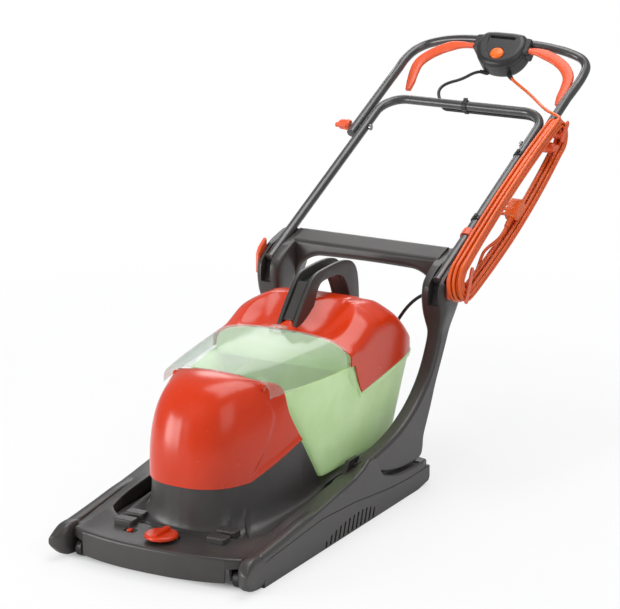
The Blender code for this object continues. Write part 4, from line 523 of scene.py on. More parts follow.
def turned(profile, centre, axis, sides=48):
    return ringPiece("turned", turnedRings(profile, centre, axis, sides))


def carve(piece, others, operation="DIFFERENCE"):  # cuts solids out of a piece, or adds them, and drops them
    for other in others:
        modifier = piece.modifiers.new("carve", "BOOLEAN")
        modifier.operation, modifier.solver, modifier.object = operation, "EXACT", other
    mesh = evaluated(piece)
    piece.modifiers.clear()
    piece.data = mesh
    for other in others:
        bpy.data.objects.remove(other, do_unlink=True)
    return piece


def assembled(name, parts, finish, body, node, bevel=0, segments=2, crease=42):  # closed pieces as one object
    whole = parts[0]
    if parts[1:]:
        reshape(whole.data, *[lambda bm, part=part: bm.from_mesh(part.data) for part in parts[1:]])
    for part in parts[1:]:
        bpy.data.objects.remove(part, do_unlink=True)
    whole.name = name
    if bevel:
        roundEdges(whole, bevel, segments, crease)
    return dress(whole, finish, body, [node], crease)


def fineCopy(node, width):
    # the CAD node's own shape with its doubles merged, its flats joined and its edges rounded
    mesh = frame["nodes"][node].data.copy()
    piece = link(camel(node), mesh)
    reshape(mesh, lambda bm: merge(bm, 0.00002), lambda bm: bmesh.ops.dissolve_limit(
        bm, angle_limit=radians(1), verts=bm.verts, edges=bm.edges))
    for attribute in [a for a in mesh.attributes if a.name == "custom_normal"]:
        mesh.attributes.remove(attribute)
    roundEdges(piece, width, 2)
    dress(piece, finishOf[node], frame["nodes"][node]["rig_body"], [node], 38)


def cordCurve(name, path, radius):  # a round cord along one open spline, made a mesh
    curve = bpy.data.curves.new(name, "CURVE")
    curve.dimensions = "3D"
    curve.bevel_depth = radius
    curve.bevel_resolution = 4
    curve.use_fill_caps = True
    curve.resolution_u = 5
    line = curve.splines.new("NURBS")
    line.points.add(len(path) - 1)
    line.points.foreach_set("co", np.column_stack([path, np.ones(len(path))]).ravel())
    line.order_u = 3
    line.use_endpoint_u = True
    carrier = link(name + "Curve", curve)
    mesh = evaluated(carrier)
    bpy.data.objects.remove(carrier, do_unlink=True)
    reshape(mesh, merge, faceOut)
    return link(name, mesh)


# camera
view = {"azimuth": 29.0013, "elevation": 15.4998, "distance": 5.12492, "focal": 2758.03, "imageWidth": 620,
        "target": (0.0547, 0.1303 + shift[1], 0.3874)}


def addCamera(v):
    a, e = radians(v["azimuth"]), radians(v["elevation"])
    back = Vector((sin(a) * cos(e), -cos(a) * cos(e), sin(e)))
    data = bpy.data.cameras.new("camera")
    data.sensor_fit = "HORIZONTAL"
    data.sensor_width = 36
    data.lens = v["focal"] / v["imageWidth"] * 36
    camera = link("camera", data)
    camera.rotation_euler = back.to_track_quat("Z", "Y").to_euler()
    camera.location = Vector(v["target"]) + back * v["distance"]
    scene.camera = camera


addCamera(view)

# mains cord
mains = {
    "radius": 0.0032, "loops": 11, "points": 24, "layers": 4, "pitch": 0.0069, "step": 0.0078, "x": 0.233,
    "top": (0.832, 0.592), "low": (0.416, 0.392), "topRadius": 0.03, "lowRadius": 0.034, "start": 6,
    "end": 19, "gap": 0.0004, "exit": (0.025, -0.037, -0.01), "plug": (0.235, 0.6204, 0.4694),
    "plugRun": (0, 0.832, 0.555),
    "over": mm([(123, 950, 648), (196, 870, 637)]),
    "under": mm([(218, 492.4, 371.6), (215.7, 505.3, 381.7), (215.5, 521.7, 398.4), (215.8, 537.6, 416.1),
                 (223, 552.3, 427), (232, 568, 436), (235, 583.4, 445.5)])}
switchFace = {"tilt": radians(44), "centre": (0.008, 1.0606, 0.7054)}


def facePoint(u, v, n):  # from the switch box's own axes: u across, v up its face, n out of it
    c, s = cos(switchFace["tilt"]), sin(switchFace["tilt"])
    x, y, z = switchFace["centre"]
    return np.array((x + u, y + v * c - n * s, z + v * s + n * c))


def stepped(at, direction, distance):
    return np.array(at, float) + unit(direction) * distance


def cableRun(start, away, middle, end, toward, count, lead=0.007):  # straight at both ends, one bend between
    first, last = stepped(start, away, lead), stepped(end, toward, -lead)
    guide = [stepped(start, away, lead / 2), first, *middle, last, stepped(end, toward, -lead / 2)]
    bend = smoothPath(guide, 200)
    near, far = (int(np.argmin(np.linalg.norm(bend - point, axis=1))) for point in (first, last))
    return np.concatenate([[start], smoothPath(bend[near:far + 1], count), [end]])


def hankLoop(m):  # one loop: half circle at each end, bowed runs between, and the way out at each point
    top, low = np.array(m["top"]), np.array(m["low"])
    axis = unit(top - low)
    side = np.array([-axis[1], axis[0]])

    def bend(centre, radius, first):
        t = np.radians(first + 30 * np.arange(7))[:, None]
        return centre + radius * (axis * np.sin(t) - side * np.cos(t))

    def run(share, sag, sign):
        share = np.array(share)[:, None]
        radius = m["topRadius"] + (m["lowRadius"] - m["topRadius"]) * share
        return top + (low - top) * share + side * sign * (radius + sag * np.sin(pi * share))

    shares = [0.17, 0.36, 0.55, 0.74, 0.9]
    pts = np.concatenate([bend(top, m["topRadius"], -15), run(shares, 0.0084, 1),
                          bend(low, m["lowRadius"], 165), run(shares[::-1], 0.016, -1)])
    ahead = np.roll(pts, -1, axis=0) - np.roll(pts, 1, axis=0)
    out = unit(np.stack([ahead[:, 1], -ahead[:, 0]], axis=1))
    return pts, out * np.sign(np.sum(out * (pts - (top + low) / 2), axis=1))[:, None]


def hankPath(m):  # radius goes in and out at a steady rate, x a layer nearer the handle at each turning
    pts, out = hankLoop(m)
    total = (m["loops"] - 1) * m["points"] + (m["end"] - m["start"]) + 1
    per = (total - 1) / m["points"] / m["layers"]
    i = np.arange(total)
    turn = i / m["points"]
    wave = (turn / per) % 2
    radial = m["step"] * per * (0.5 - np.minimum(wave, 2 - wave))
    climbs = sum(np.clip(2 * (turn - k * per) + 0.5, 0, 1) for k in range(1, m["layers"]))
    k = (i + m["start"]) % m["points"]
    x = m["x"] + m["pitch"] * ((m["layers"] - 1) / 2 - climbs)
    return np.column_stack([x, pts[k] + out[k] * radial[:, None]])


def mainsPath(m):
    hank = hankPath(m)
    u, v, n = m["exit"]
    start = facePoint(u, v, n)
    first, last = hank[1] - hank[0], hank[-1] - hank[-2]
    lead = cableRun(start, facePoint(u, v - 0.01, n) - start, m["over"], stepped(hank[0], first, -m["gap"]),
                    first, 15)
    tail = cableRun(stepped(hank[-1], last, m["gap"]), last, m["under"],
                    stepped(m["plug"], m["plugRun"], -0.0204), m["plugRun"], 11)
    return np.concatenate([lead[:-1], hank, tail[1:]]) + shift


route = mainsPath(mains)
mainsCord = dress(cordCurve("mainsCord", route, mains["radius"]), "cord", None,
                  ["mains_lead", "mains_hank", "mains_tail"])
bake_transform(mainsCord, "lower_handle", "upper_handle", start=tuple(shift + (0.21, 0.862, 0.63)),
         end=tuple(shift + (0.06, 1.020, 0.68)))


def addStage():  # pale floor that keeps the shadow, white to the camera, and an even world
    behind = 6  # from the mower's middle to the floor's
    bpy.ops.mesh.primitive_plane_add(size=30, location=(0, behind, 0))
    floor = bpy.context.object
    floor.name = "studioFloor"
    paint = Paint("paleFloor", Base_Color=(0.8, 0.8, 0.8), Roughness=0.9)
    rays = paint.node("ShaderNodeLightPath")
    seen = (rays[0] + rays[6]).clamp()
    x, y = paint.node("ShaderNodeSeparateXYZ", None, {0: paint.node("ShaderNodeTexCoord")[3]})[:2]
    # painted shade: the floor's white share falls towards the mower and is cut by nine tenths under its
    # footprint, so the floor shows darker there
    away = ((x ** 2 + (y + behind) ** 2) ** 0.5).over(0.75, 1.7)
    under = (0.205 - x.size()).over(0, 0.035) * (0.345 - (y + (behind + 0.372)).size()).over(0, 0.035)
    white = paint.node("ShaderNodeEmission", None, {"Color": (1, 1, 1), "Strength": 1})[0]
    share = seen * (away * 0.36 + 0.64) * (1 - under * 0.9)
    lit = Wire(paint, paint.shader.outputs[0])
    blended = paint.node("ShaderNodeMixShader", None, {0: share, 1: lit, 2: white})[0]
    paint.put(paint.tree.nodes["Material Output"].inputs["Surface"], blended)
    floor.data.materials.append(paint.material)
    scene.world = bpy.data.worlds.new("studio")
    studio = Paint("studio", scene.world)
    studio.tree.nodes.clear()
    rays = studio.node("ShaderNodeLightPath")
    either = rays[0].sum("MAXIMUM", rays[0], rays[6])
    room = studio.node("ShaderNodeBackground", None, {0: (0.93, 0.95, 1), 1: 0.42})[0]
    back = studio.node("ShaderNodeBackground", None, {1: 1})[0]
    mixed = studio.node("ShaderNodeMixShader", None, {0: either, 1: room, 2: back})[0]
    studio.node("ShaderNodeOutputWorld", None, {"Surface": mixed})


def addLamp(name, place, size, power, glossy=True):
    data = bpy.data.lights.new(name, "AREA")
    data.shape = "RECTANGLE"
    data.size, data.size_y = size
    data.energy = power
    lamp = link(name, data)
    lamp.visible_glossy = glossy
    lamp.location = place
    lamp.rotation_euler = (Vector((0, -0.1, 0.35)) - Vector(place)).to_track_quat("-Z", "Y").to_euler()


addStage()
addLamp("keyStrip", (-2.25, -2.75, 0.78), (1.5, 1.5), 58)
addLamp("frontBox", (-0.9, -3.3, 3.2), (2.8, 2), 38, False)
addLamp("fillBox", (2.9, -1.2, 1.9), (2, 2.2), 20)
addLamp("topBox", (0.2, 0.5, 3), (2.2, 2.2), 56)
addLamp("rimBox", (-1.2, 2.4, 1.9), (1.6, 1), 18)
scene.view_settings.view_transform = "Standard"
print("cord, stage and lamps ready")

# motor cover
coverPlan = mm([(0, -251.5), (30, -249), (60, -236), (82, -213), (95, -183), (105, -150), (116, -105),
                (124.5, -65), (129, -35)])
pedestalHeights = mm([(-170, -100, -50, -36, 26, 30), (137, 160, 179, 183, 92.5, 90.5)])
cover = {"rows": 56, "cols": 121, "power": 2.75, "depth": 0.0026, "noseStep": 0.0026, "noseEdge": 0.045,
         "lug": (0, -0.1075, 0.294)}


def addCover(m):
    # each column rises from the pedestal's edge to the crest along a superellipse, leaning out at the sides
    half = smoothPath(coverPlan, (m["cols"] + 1) // 2)
    x, y = np.concatenate([half[::-1] * [-1, 1], half[1:]]).T[:, None]
    s = np.linspace(-1, 1, m["cols"])[None, :]
    t = (np.linspace(0, 1, m["rows"]) ** 1.25 * pi / 2)[:, None]
    base = np.interp(y, *pedestalHeights) + 0.0004
    crestY, crestZ = -0.12 + 0.017 * s**2, 0.317 - 0.019 * s**2
    flat = 1 - np.cos(t) ** (2 / m["power"])
    rise = np.sin(t) ** (2 / m["power"])
    edge = np.maximum(0, np.abs(s) - 0.55) / 0.45
    lean = np.sin(pi * rise**1.2) * edge**2
    grid = np.stack(np.broadcast_arrays(x + (0.086 * s - x) * flat - 0.006 * lean * np.sign(s),
                                        y + (crestY - y) * flat - 0.026 * lean,
                                        base + (crestZ - base) * rise), axis=2)
    nose = 0.4 + 0.34 * np.clip(rise / 0.55, 0, 1) ** 0.6 - 0.1 * ease((rise - 0.6) / 0.4)
    step = ease((np.abs(s) - nose) / m["noseEdge"]) * ease(rise * 9) * ease((1 - rise) * 7)
    normals = surfaceNormals(grid)
    grid = grid + normals * np.sign(normals[10, m["cols"] // 2, 1]) * (step * m["noseStep"])[:, :, None]
    wallPiece("motorCover", grid[:, ::-1], m["depth"], "orange", "hood", ["motor_cover"], 0.0008)
    for side, word in zip(bothSides, ("Left", "Right")):
        low, high = sorted((side * 0.0785, side * 0.096))
        profile = [(0.0002, low), (0.0066, low), (0.008, low + 0.0014), (0.0082, high - 0.0014),
                   (0.0068, high), (0.0002, high)]
        ringPiece("hingeBarrel" + word, turnedRings(profile, m["lug"], "x", 32), "orange", "hood")


addCover(cover)

# grass box lid
rimHeights = mm([(-100, 134, 158, 405), (274, 281, 221.5, 254)])
lid = {"front": 0.119, "rear": 0.402, "half": 0.147, "seat": 0.0018, "across": 113, "back": 81,
       "depth": 0.0026, "bowl": (0.056, 0.175, 0.056, 0.076, 0.025),
       "crown": mm([(119, 150, 180, 205, 240, 290, 311, 338, 360, 393, 402),
                    (334, 344, 356, 366, 368, 364, 357, 337, 316, 286, 278)])}


def addLid(m):
    # a cushion-shaped crown over the rim with two scoops beside the handle
    u = np.linspace(-1, 1, m["across"])[None, :]
    v = np.linspace(0, 1, m["back"])[:, None]
    a = np.sign(u) * (1 - (1 - np.abs(u)) ** 1.7)
    b = 1 - (1 - v) ** 1.5
    reach = np.maximum(np.maximum(np.abs(a), b), 1e-9)
    scale = np.maximum((np.abs(a) / reach) ** 8 + (b / reach) ** 8, 1) ** (-1 / 8)
    x = m["half"] * a * scale
    y = m["front"] + (m["rear"] - m["front"]) * b * scale
    rim = np.interp(y, *rimHeights) + m["seat"]
    rise = np.maximum(0, 1 - reach**13) ** (1 / 13)
    back = np.clip((y - m["front"]) / 0.14, 0, 1)
    edge = 0.05 + 0.046 * back
    bend = 0.0022 * np.logaddexp(0, (np.abs(x) - edge) / 0.0022)
    crown = through(*m["crown"], y) - 0.0035 * (np.abs(x) / 0.137) ** 2 - (0.24 + 0.16 * back) * bend
    bx, by, rx, ry, depth = m["bowl"]
    far = ((np.abs(x) - bx) / rx) ** 2 + ((y - by) / ry) ** 2
    fade = np.clip((y - m["front"]) / 0.02, 0, 1)
    crown = crown - depth * fade * np.maximum(0, 1 - far) ** 1.12
    ledge = ease((0.168 - np.abs(y - 0.345)) / 0.004) * ease((np.abs(x) - 0.062) / 0.004) * (y > 0.24)
    z = rim + (crown - 0.0016 * ledge - rim) * rise
    wallPiece("grassBoxLid", np.stack([x, y, z], axis=2), -m["depth"], "orange", "grass_box",
              ["grass_box_lid"], 0.0007)


addLid(lid)

# grass box base
boxPlan = mm([(0, -78), (50, -78), (78, -76.5), (95, -69), (110, -40), (126, 10), (138, 75), (144, 134),
              (145, 158), (145, 250), (143, 340), (135, 380), (110, 396), (50, 401), (0, 402)])
floorPlan = mm([(0, 38), (40, 38), (80, 37), (108, 36), (128, 35), (134, 50), (135, 90), (135, 134),
                (135, 158), (135, 230), (133, 300), (123, 322), (100, 332), (50, 336), (0, 337)])
grassBox = {"count": 300, "floor": 0.0903, "skin": 0.0022, "lip": 0.0035,
            "flank": mm([(118, 260), (119, 288), (190, 288), (280, 250), (280, 225), (160, 210)])}


def addBox(m):
    # walls between the floor's plan and the rim's, with a rounded foot and a lip under the lid
    at = np.linspace(0, len(boxPlan) - 1, m["count"] // 2 + 1)
    floorRing, rimRing = (mirrored(softRows(plan, at), (-1, 1)) for plan in (floorPlan, boxPlan))
    rim = np.interp(rimRing[:, 1], *rimHeights)
    lipped = ease((rimRing[:, 1] - 0.146) / 0.008)[:, None]
    skin, lip, base = m["skin"], m["lip"], m["floor"]

    def level(share, inset=0, base=base):
        plan = insetPlan(floorRing + (rimRing - floorRing) * share, inset)
        return np.column_stack([plan, base + (rim - base) * share])

    def flared(share, out):
        ring = level(share)
        ring[:, :2] += (insetPlan(ring[:, :2], -out) - ring[:, :2]) * lipped
        return ring

    rings = [level(0, 0.006), level(0.004, 0.0026), level(0.014, 0.0008), level(0.035)]
    rings += [level(share) for share in np.linspace(0.08, 0.93, 14)]
    rings += [flared(0.936, 0), flared(0.94, lip * 0.8), flared(0.948, lip), flared(0.994, lip),
              flared(1, lip * 0.7), level(1, skin)]
    rings += [level(share, skin, base + skin) for share in np.linspace(0.95, 0.05, 12)]
    rings += [level(0.01, skin + 0.003, base + skin), level(0, skin + 0.008, base + skin)]
    c, s = superCurve(np.linspace(0, pi, 81), 3.2)
    arch = np.concatenate([np.column_stack([0.1405 * c, 0.283 + 0.049 * s]), mm([(-138, 270), (138, 270)])])
    parts = [ringPiece("shell", rings), slab(arch, "y", 0.1166, 0.1184, 0.0003, 1)]
    parts += [slab(m["flank"], "x", side * 0.1412, side * 0.1424, 0.0003, 1) for side in bothSides]
    assembled("grassBoxBase", parts, "green", "grass_box", "grass_box_base", crease=50)


addBox(grassBox)

# window
window = {"rows": 40, "cols": 101, "front": -0.118, "length": 0.234, "depth": 0.002, "half": (0.112, 0.0335),
          "low": mm([(-118, 0, 134), (280.9, 283.5, 286.4)]),
          "high": mm([(-118, -90, 0, 118), (319.9, 323.1, 330, 337.1)])}


def addWindow(m):
    # a flattened arch that widens to the back, bowed forward at the front edge
    share = np.linspace(0, 1, m["rows"])[:, None]
    c, s = superCurve(np.linspace(0, pi, m["cols"])[None, :], 3.2)
    y = m["front"] + m["length"] * share
    half = m["half"][0] + m["half"][1] * ((y - m["front"]) / 0.236) ** 0.8
    low, high = through(*m["low"], y), through(*m["high"], y)
    bow = 0.012 * (1 - share) * (1 - c**2)
    droop = 0.0016 * (1 - share)
    grid = np.stack(np.broadcast_arrays(half * c, y - bow, low + (high - low + droop) * s), axis=2)[:, ::-1]
    hem = tubeGrid(grid[0] + [0, 0.0006, -0.0012], 0.0011, 10, (0, 1, 0))
    tab = slab(roundedBox((-0.0165, 0.098), (0.0165, 0.1165), 0.005), "z", 0.3335, 0.344, 0.002)
    parts = [wallPiece("pane", grid, m["depth"]), tab, ringPiece("hem", hem)]
    assembled("windowClear", parts, "clear", "window", "window", crease=40)


addWindow(window)
print("cover, lid, box and window ready")

# handle tubes
tube = {
    "radius": 0.0095, "sides": 28, "pin": (0.404, 0.389), "rise": 0.4762, "knob": 0.8,
    "upper": mm([(206.5, 990, 666), (206.5, 1025, 683), (200, 1056, 697), (182, 1076, 708), (150, 1080, 718),
                 (112, 1077, 725.5), (60, 1073, 730), (0, 1071, 730.5)])}


def tubeHeight(y):
    return tube["pin"][1] + tube["rise"] * (y - tube["pin"][0])


def roundedPath(points, radius, steps):
    # straight legs joined by quarter arcs that touch both
    pts = [np.array(p, float) for p in points]
    out = [pts[0]]
    for before, corner, after in zip(pts, pts[1:], pts[2:]):
        a, b = unit(before - corner), unit(after - corner)
        half = acos(float(a @ b)) / 2
        centre = corner + unit(a + b) * radius / sin(half)
        start, stop = (corner + way * radius / tan(half) - centre for way in (a, b))
        sweep = pi - 2 * half
        k = np.linspace(0, 1, steps)[:, None]
        out += list(centre + (start * np.sin((1 - k) * sweep) + stop * np.sin(k * sweep)) / sin(sweep))
    return np.array(out + [pts[-1]])


def lowerPath():
    ends = [(-0.185, 0.398), (-0.185, 0.896), (0.185, 0.896), (0.185, 0.398)]
    return roundedPath([(x, y, tubeHeight(y)) for x, y in ends], 0.052, 24)


def upperPath():
    first, bottom = ((0.2055, y, tubeHeight(y)) for y in (0.95, tube["knob"] - 0.024))
    right = np.concatenate([[first], tube["upper"]])
    across = np.concatenate([right, right[-2::-1] * [-1, 1, 1]])
    return np.concatenate([[bottom], smoothPath(across, 150), [bottom] * np.array([-1, 1, 1])])


for node, path in (("lower_handle", lowerPath()), ("upper_handle", upperPath())):
    rings = tubeGrid(path, tube["radius"], tube["sides"], (0, -tube["rise"], 1))
    ringPiece(camel(node) + "Tube", withEnds(path, rings, 0.86, 0.0006), "tube", node, [node], crease=50)

# start bail
bail = {
    "half": mm([(70, 1052, 719.5), (85, 1052.5, 719), (108, 1052, 715), (135, 1050, 705), (159, 1040, 692),
                (174, 1024.5, 677), (176.5, 1006.5, 659.4), (174.5, 988.5, 642), (173.5, 973, 627)]),
    "wide": ([0, 1, 2, 6, 9, 10], [0.0056, 0.0085, 0.0118, 0.0122, 0.0095, 0.006]),
    "thin": ([0, 1, 10], [0.0056, 0.0052, 0.0052])}


def addBail(m):
    # a flat oval section along the bar: round where it turns in the box, widest at the bends
    bend = smoothPath(m["half"], 60)
    path = np.concatenate([bend[::-1] * [-1, 1, 1], bend])
    side, up = acrossPath(path, [0, -0.7071, 0.7071])
    step = np.linspace(0, 10, 60)
    wide, thin = (np.interp(step, *m[key]) for key in ("wide", "thin"))
    wide, thin = (np.concatenate([w[::-1], w])[:, None, None] for w in (wide, thin))
    a = circle(36)
    c, s = superCurve(a, 2.8)
    hollow = 1 - 0.42 * np.exp(-((a - 1.5 * pi) / 0.55) ** 2)
    rings = path[:, None] + side * (c[:, None] * wide) + up * ((s * hollow)[:, None] * thin)
    ringPiece("startBail", withEnds(path, rings, 0.8, 0.001), "salmon", "bail", ["start_bail"])


addBail(bail)
print("tubes and bail ready")

# glide frame: outer x and y, top z, lower edge z, inner x and y, from the front's middle to the rear's
frameStations = mm([
    (0, -360, 57, 10, 0, -265), (50, -358.5, 57, 10, 40, -264.5), (95, -353.5, 57, 10.5, 78, -262),
    (128, -346.5, 57, 11, 104, -257), (146.5, -342, 56.5, 12, 120, -248),
    (147.5, -341.5, 56.5, 37, 121.5, -247), (173, -328, 55, 39, 143, -220),
    (173.5, -313, 56, 40, 147.5, -205), (204, -308, 57.5, 47.5, 149, -190),
    (204.5, -250, 62.5, 52, 150.5, -170), (204.5, -95, 82, 63, 150.5, -80), (204.5, 35, 99.5, 56, 150.5, 35),
    (204.5, 68, 109, 52, 150.5, 68), (204.5, 86, 118.5, 50, 150.5, 86), (204.5, 100, 120, 48.5, 150.5, 100),
    (204.5, 114, 114, 47, 150.5, 114), (204.5, 130, 92, 45, 150.5, 130), (204.5, 146, 74, 43, 150.5, 146),
    (204.5, 195, 59, 39, 150.5, 195), (204.5, 250, 53.5, 37, 150.5, 230), (204.5, 310, 52, 37, 149, 260),
    (201, 329, 51.5, 37, 143, 270), (175.2, 337.5, 51, 37, 130, 275), (174, 337.5, 51, 20, 120, 275),
    (90, 338, 51, 20, 80, 275), (0, 338, 51, 20, 0, 275)])
glide = {
    "perGap": 8, "wall": 0.004, "skin": 0.003, "dish": 0.0022, "widen": 0.0125, "raise": 0.0045,
    "tabX": 0.096, "dial": (0, -0.312, 0), "axle": (0, -0.317, 0.0165),
    "pocket": mm([(94, 30), (94, 150), (302, 150), (302, 30)]),
    "cheek": mm([(55, 70), (88, 111), (124, 111), (136, 98), (150, 74), (100, 66)]),
    "bracket": mm([(-330, 50), (-304, 54), (-309, 11.5), (-325, 11.5)]),
    "guard": mm([(-298.5, 12.5), (-295.5, 12.5), (-295.5, 52), (-298.5, 52)]),
    "rest": mm([(95, 44), (301, 40), (301, 50.5), (250, 52), (195, 57.5), (146, 65), (130, 65), (95, 60)]),
    "lap": mm([(-313.2, 40.5), (-299, 40.5), (-299, 52), (-313.2, 52)]),
    "rim": mm([(-333, -313, -250, -95, 35), (55.5, 56.5, 62.5, 82, 99.5)]),
    "seam": mm([(-308, -250, -95, 35, 68, 86, 100), (47.5, 52, 63, 56, 52, 50, 48.5)])}


def deckHeight(y):
    return through([-0.36, -0.26, -0.1, 0.03, 0.12, 0.26], [0.057, 0.061, 0.077, 0.087, 0.087, 0.066], y)


def fineStations(perGap):
    # top and inner edge follow smooth curves; the outer edge is smooth along the front, straight elsewhere
    n = len(frameStations)
    at = np.linspace(0, n - 1, (n - 1) * perGap + 1)
    out = readAt(frameStations, np.arange(n), at)
    out[:, [2, 4, 5]] = softRows(frameStations, at)[:, [2, 4, 5]]
    out[at <= 4, :2] = softRows(frameStations[:5], at)[at <= 4, :2]
    return mirrored(out, (-1, 1, 1, 1, -1, 1))


def openEdge(inner, m):  # the opening's edge, wider along the sides in front of the cheeks
    side = ease((np.abs(inner[:, 0]) - 0.1) / 0.045) * ease((0.062 - inner[:, 1]) / 0.06)
    back = -0.006 * side * ease((-0.15 - inner[:, 1]) / 0.05)
    return inner + np.column_stack([np.sign(inner[:, 0]) * m["widen"] * side, back]), side


def addFrame(m):
    s = fineStations(m["perGap"])
    outer, top, low = s[:, 0:2], s[:, 2], s[:, 3]
    inner, side = openEdge(s[:, 4:6], m)
    deck = deckHeight(inner[:, 1])
    lip = np.where(inner[:, 1] < 0.05, deck, np.minimum(deck, np.maximum(top + 0.002, 0.053)))
    lip = lip + m["raise"] * side * ease((inner[:, 1] + 0.245) / 0.1)
    dish = m["dish"] * ease((-0.285 - outer[:, 1]) / 0.05)
    way, reach = unit(inner - outer), np.linalg.norm(inner - outer, axis=1)
    wall, skin = m["wall"], m["skin"]
    sill = lip - 0.012 - 0.012 * side
    steps = [(0, low), (0, top - 0.0055), (0.0006, top - 0.0028), (0.002, top - 0.001), (0.0042, top),
             (0.007, top)]
    steps += [(0.007 + (reach - 0.007 - 0.0042) * share,
               top + (lip - top) * share - dish * sin(pi * share ** 0.6))
              for share in np.linspace(0.12, 0.9, 9)]
    steps += [(reach - 0.004, lip), (reach - 0.002, lip - 0.0003), (reach - 0.0006, lip - 0.0012),
              (reach, lip - 0.003), (reach, sill), (reach - skin, sill), (reach - skin - 0.001, lip - skin),
              (wall + 0.002, top - skin - 0.001), (wall, top - skin - 0.003), (wall, low)]
    rings = np.stack([np.column_stack([outer + way * np.reshape(d, (-1, 1)), z]) for d, z in steps], axis=1)
    shell = ringPiece("shell", rings, loop=True)
    cutters = []
    for side in bothSides:
        hole = roundedBox((side * m["tabX"] - 0.016, -0.2835), (side * m["tabX"] + 0.016, -0.2676), 0.003)
        cutters += [slab(m["pocket"], "x", side * 0.1625, side * 0.2003, 0.0001, 1),
                    slab(hole, "z", 0.057, 0.09, 0.0005, 1)]
    cutters += [slab(roundedBox((-0.084, -0.3075), (-0.06, -0.2935), 0.002), "z", 0.04, 0.08, 0.0003, 1),
                turned([(0.0335, 0.056), (0.0335, 0.09)], m["dial"], "z")]
    parts = [carve(shell, cutters)]
    y = np.linspace(-0.333, -0.06, 60)
    swell = 0.0008 + 0.0082 * ease((y + 0.334) / 0.03) * ease((-0.059 - y) / 0.12)
    c, q = superCurve(circle(32), 2.6)
    rim = through(*m["rim"], y) - 0.004
    ridge = np.stack(np.broadcast_arrays(0.1917 + 0.0118 * c, y[:, None], rim[:, None] + swell[:, None] * q),
                     axis=2)
    y = np.linspace(-0.295, 0.09, 40)
    corners = [(0.1965, -0.004), (0.2003, -0.004), (0.2003, 0.005), (0.1965, 0.005)]
    backing = np.array([[(x, at, z + up) for x, up in corners] for at, z in zip(y, np.interp(y, *m["seam"]))])
    for side in bothSides:
        tab = roundedBox((side * m["tabX"] - 0.0195, -0.289), (side * m["tabX"] + 0.0195, -0.264), 0.005)
        parts += [slab(m["cheek"], "x", side * 0.1535, side * 0.162, 0.0015),
                  slab(m["bracket"], "x", side * 0.1475, side * 0.152, 0.001),
                  slab(tab, "z", 0.056, 0.07, 0.0032),
                  turned([(0.003, side * 0.148), (0.003, side * 0.1796)], m["axle"], "x", 20),
                  slab(m["guard"], "x", side * 0.14, side * 0.1755, 0.0004, 1),
                  slab(m["rest"], "x", side * 0.1632, side * 0.1996, 0.001, 2),
                  slab(m["lap"], "x", side * 0.1762, side * 0.2, 0.0004, 1),
                  ringPiece("ridge", ridge * [side, 1, 1]), ringPiece("seamBack", backing * [side, 1, 1])]
    parts.append(turned([(0.036, 0.049), (0.036, 0.0553)], m["dial"], "z"))
    parts.append(slab(roundedBox((-0.09, -0.312), (-0.054, -0.289), 0.002), "z", 0.045, 0.053, 0.0004, 1))
    saddle = slab(roundedBox((0.032, 0.05), (0.048, 0.0654), 0.003), "y", 0.318, 0.33, 0.0008)
    parts.append(carve(saddle, [turned([(0.0037, 0.31), (0.0037, 0.34)], (0.04, 0, 0.0588), "y", 24)]))
    assembled("glideFrame", parts, "charcoal", "frame", "glide_frame", 0.0006)


addFrame(glide)

# motor hood: edge ring that follows the frame's opening, a foot, and a wall up to the cover's seat
hoodShape = {"count": 240, "clearance": 0.003, "wall": 0.003, "skirt": 0.046, "floor": 0.074,
             "centre": np.array((0, -0.045)), "hub": np.array((0, -0.085)), "drop": 0.012,
             "channel": 0.0125, "trench": 0.03,
             "rear": mm([(130, -10), (131, 10), (131, 30), (90, 30), (45, 30), (0, 30)])}


def pedestalPlan(m, grow=0):
    half = np.concatenate([smoothPath(coverPlan, 60), m["rear"]])
    return insetPlan(mirrored(evenPath(half, m["count"] // 2 + 1), (-1, 1)), -grow)


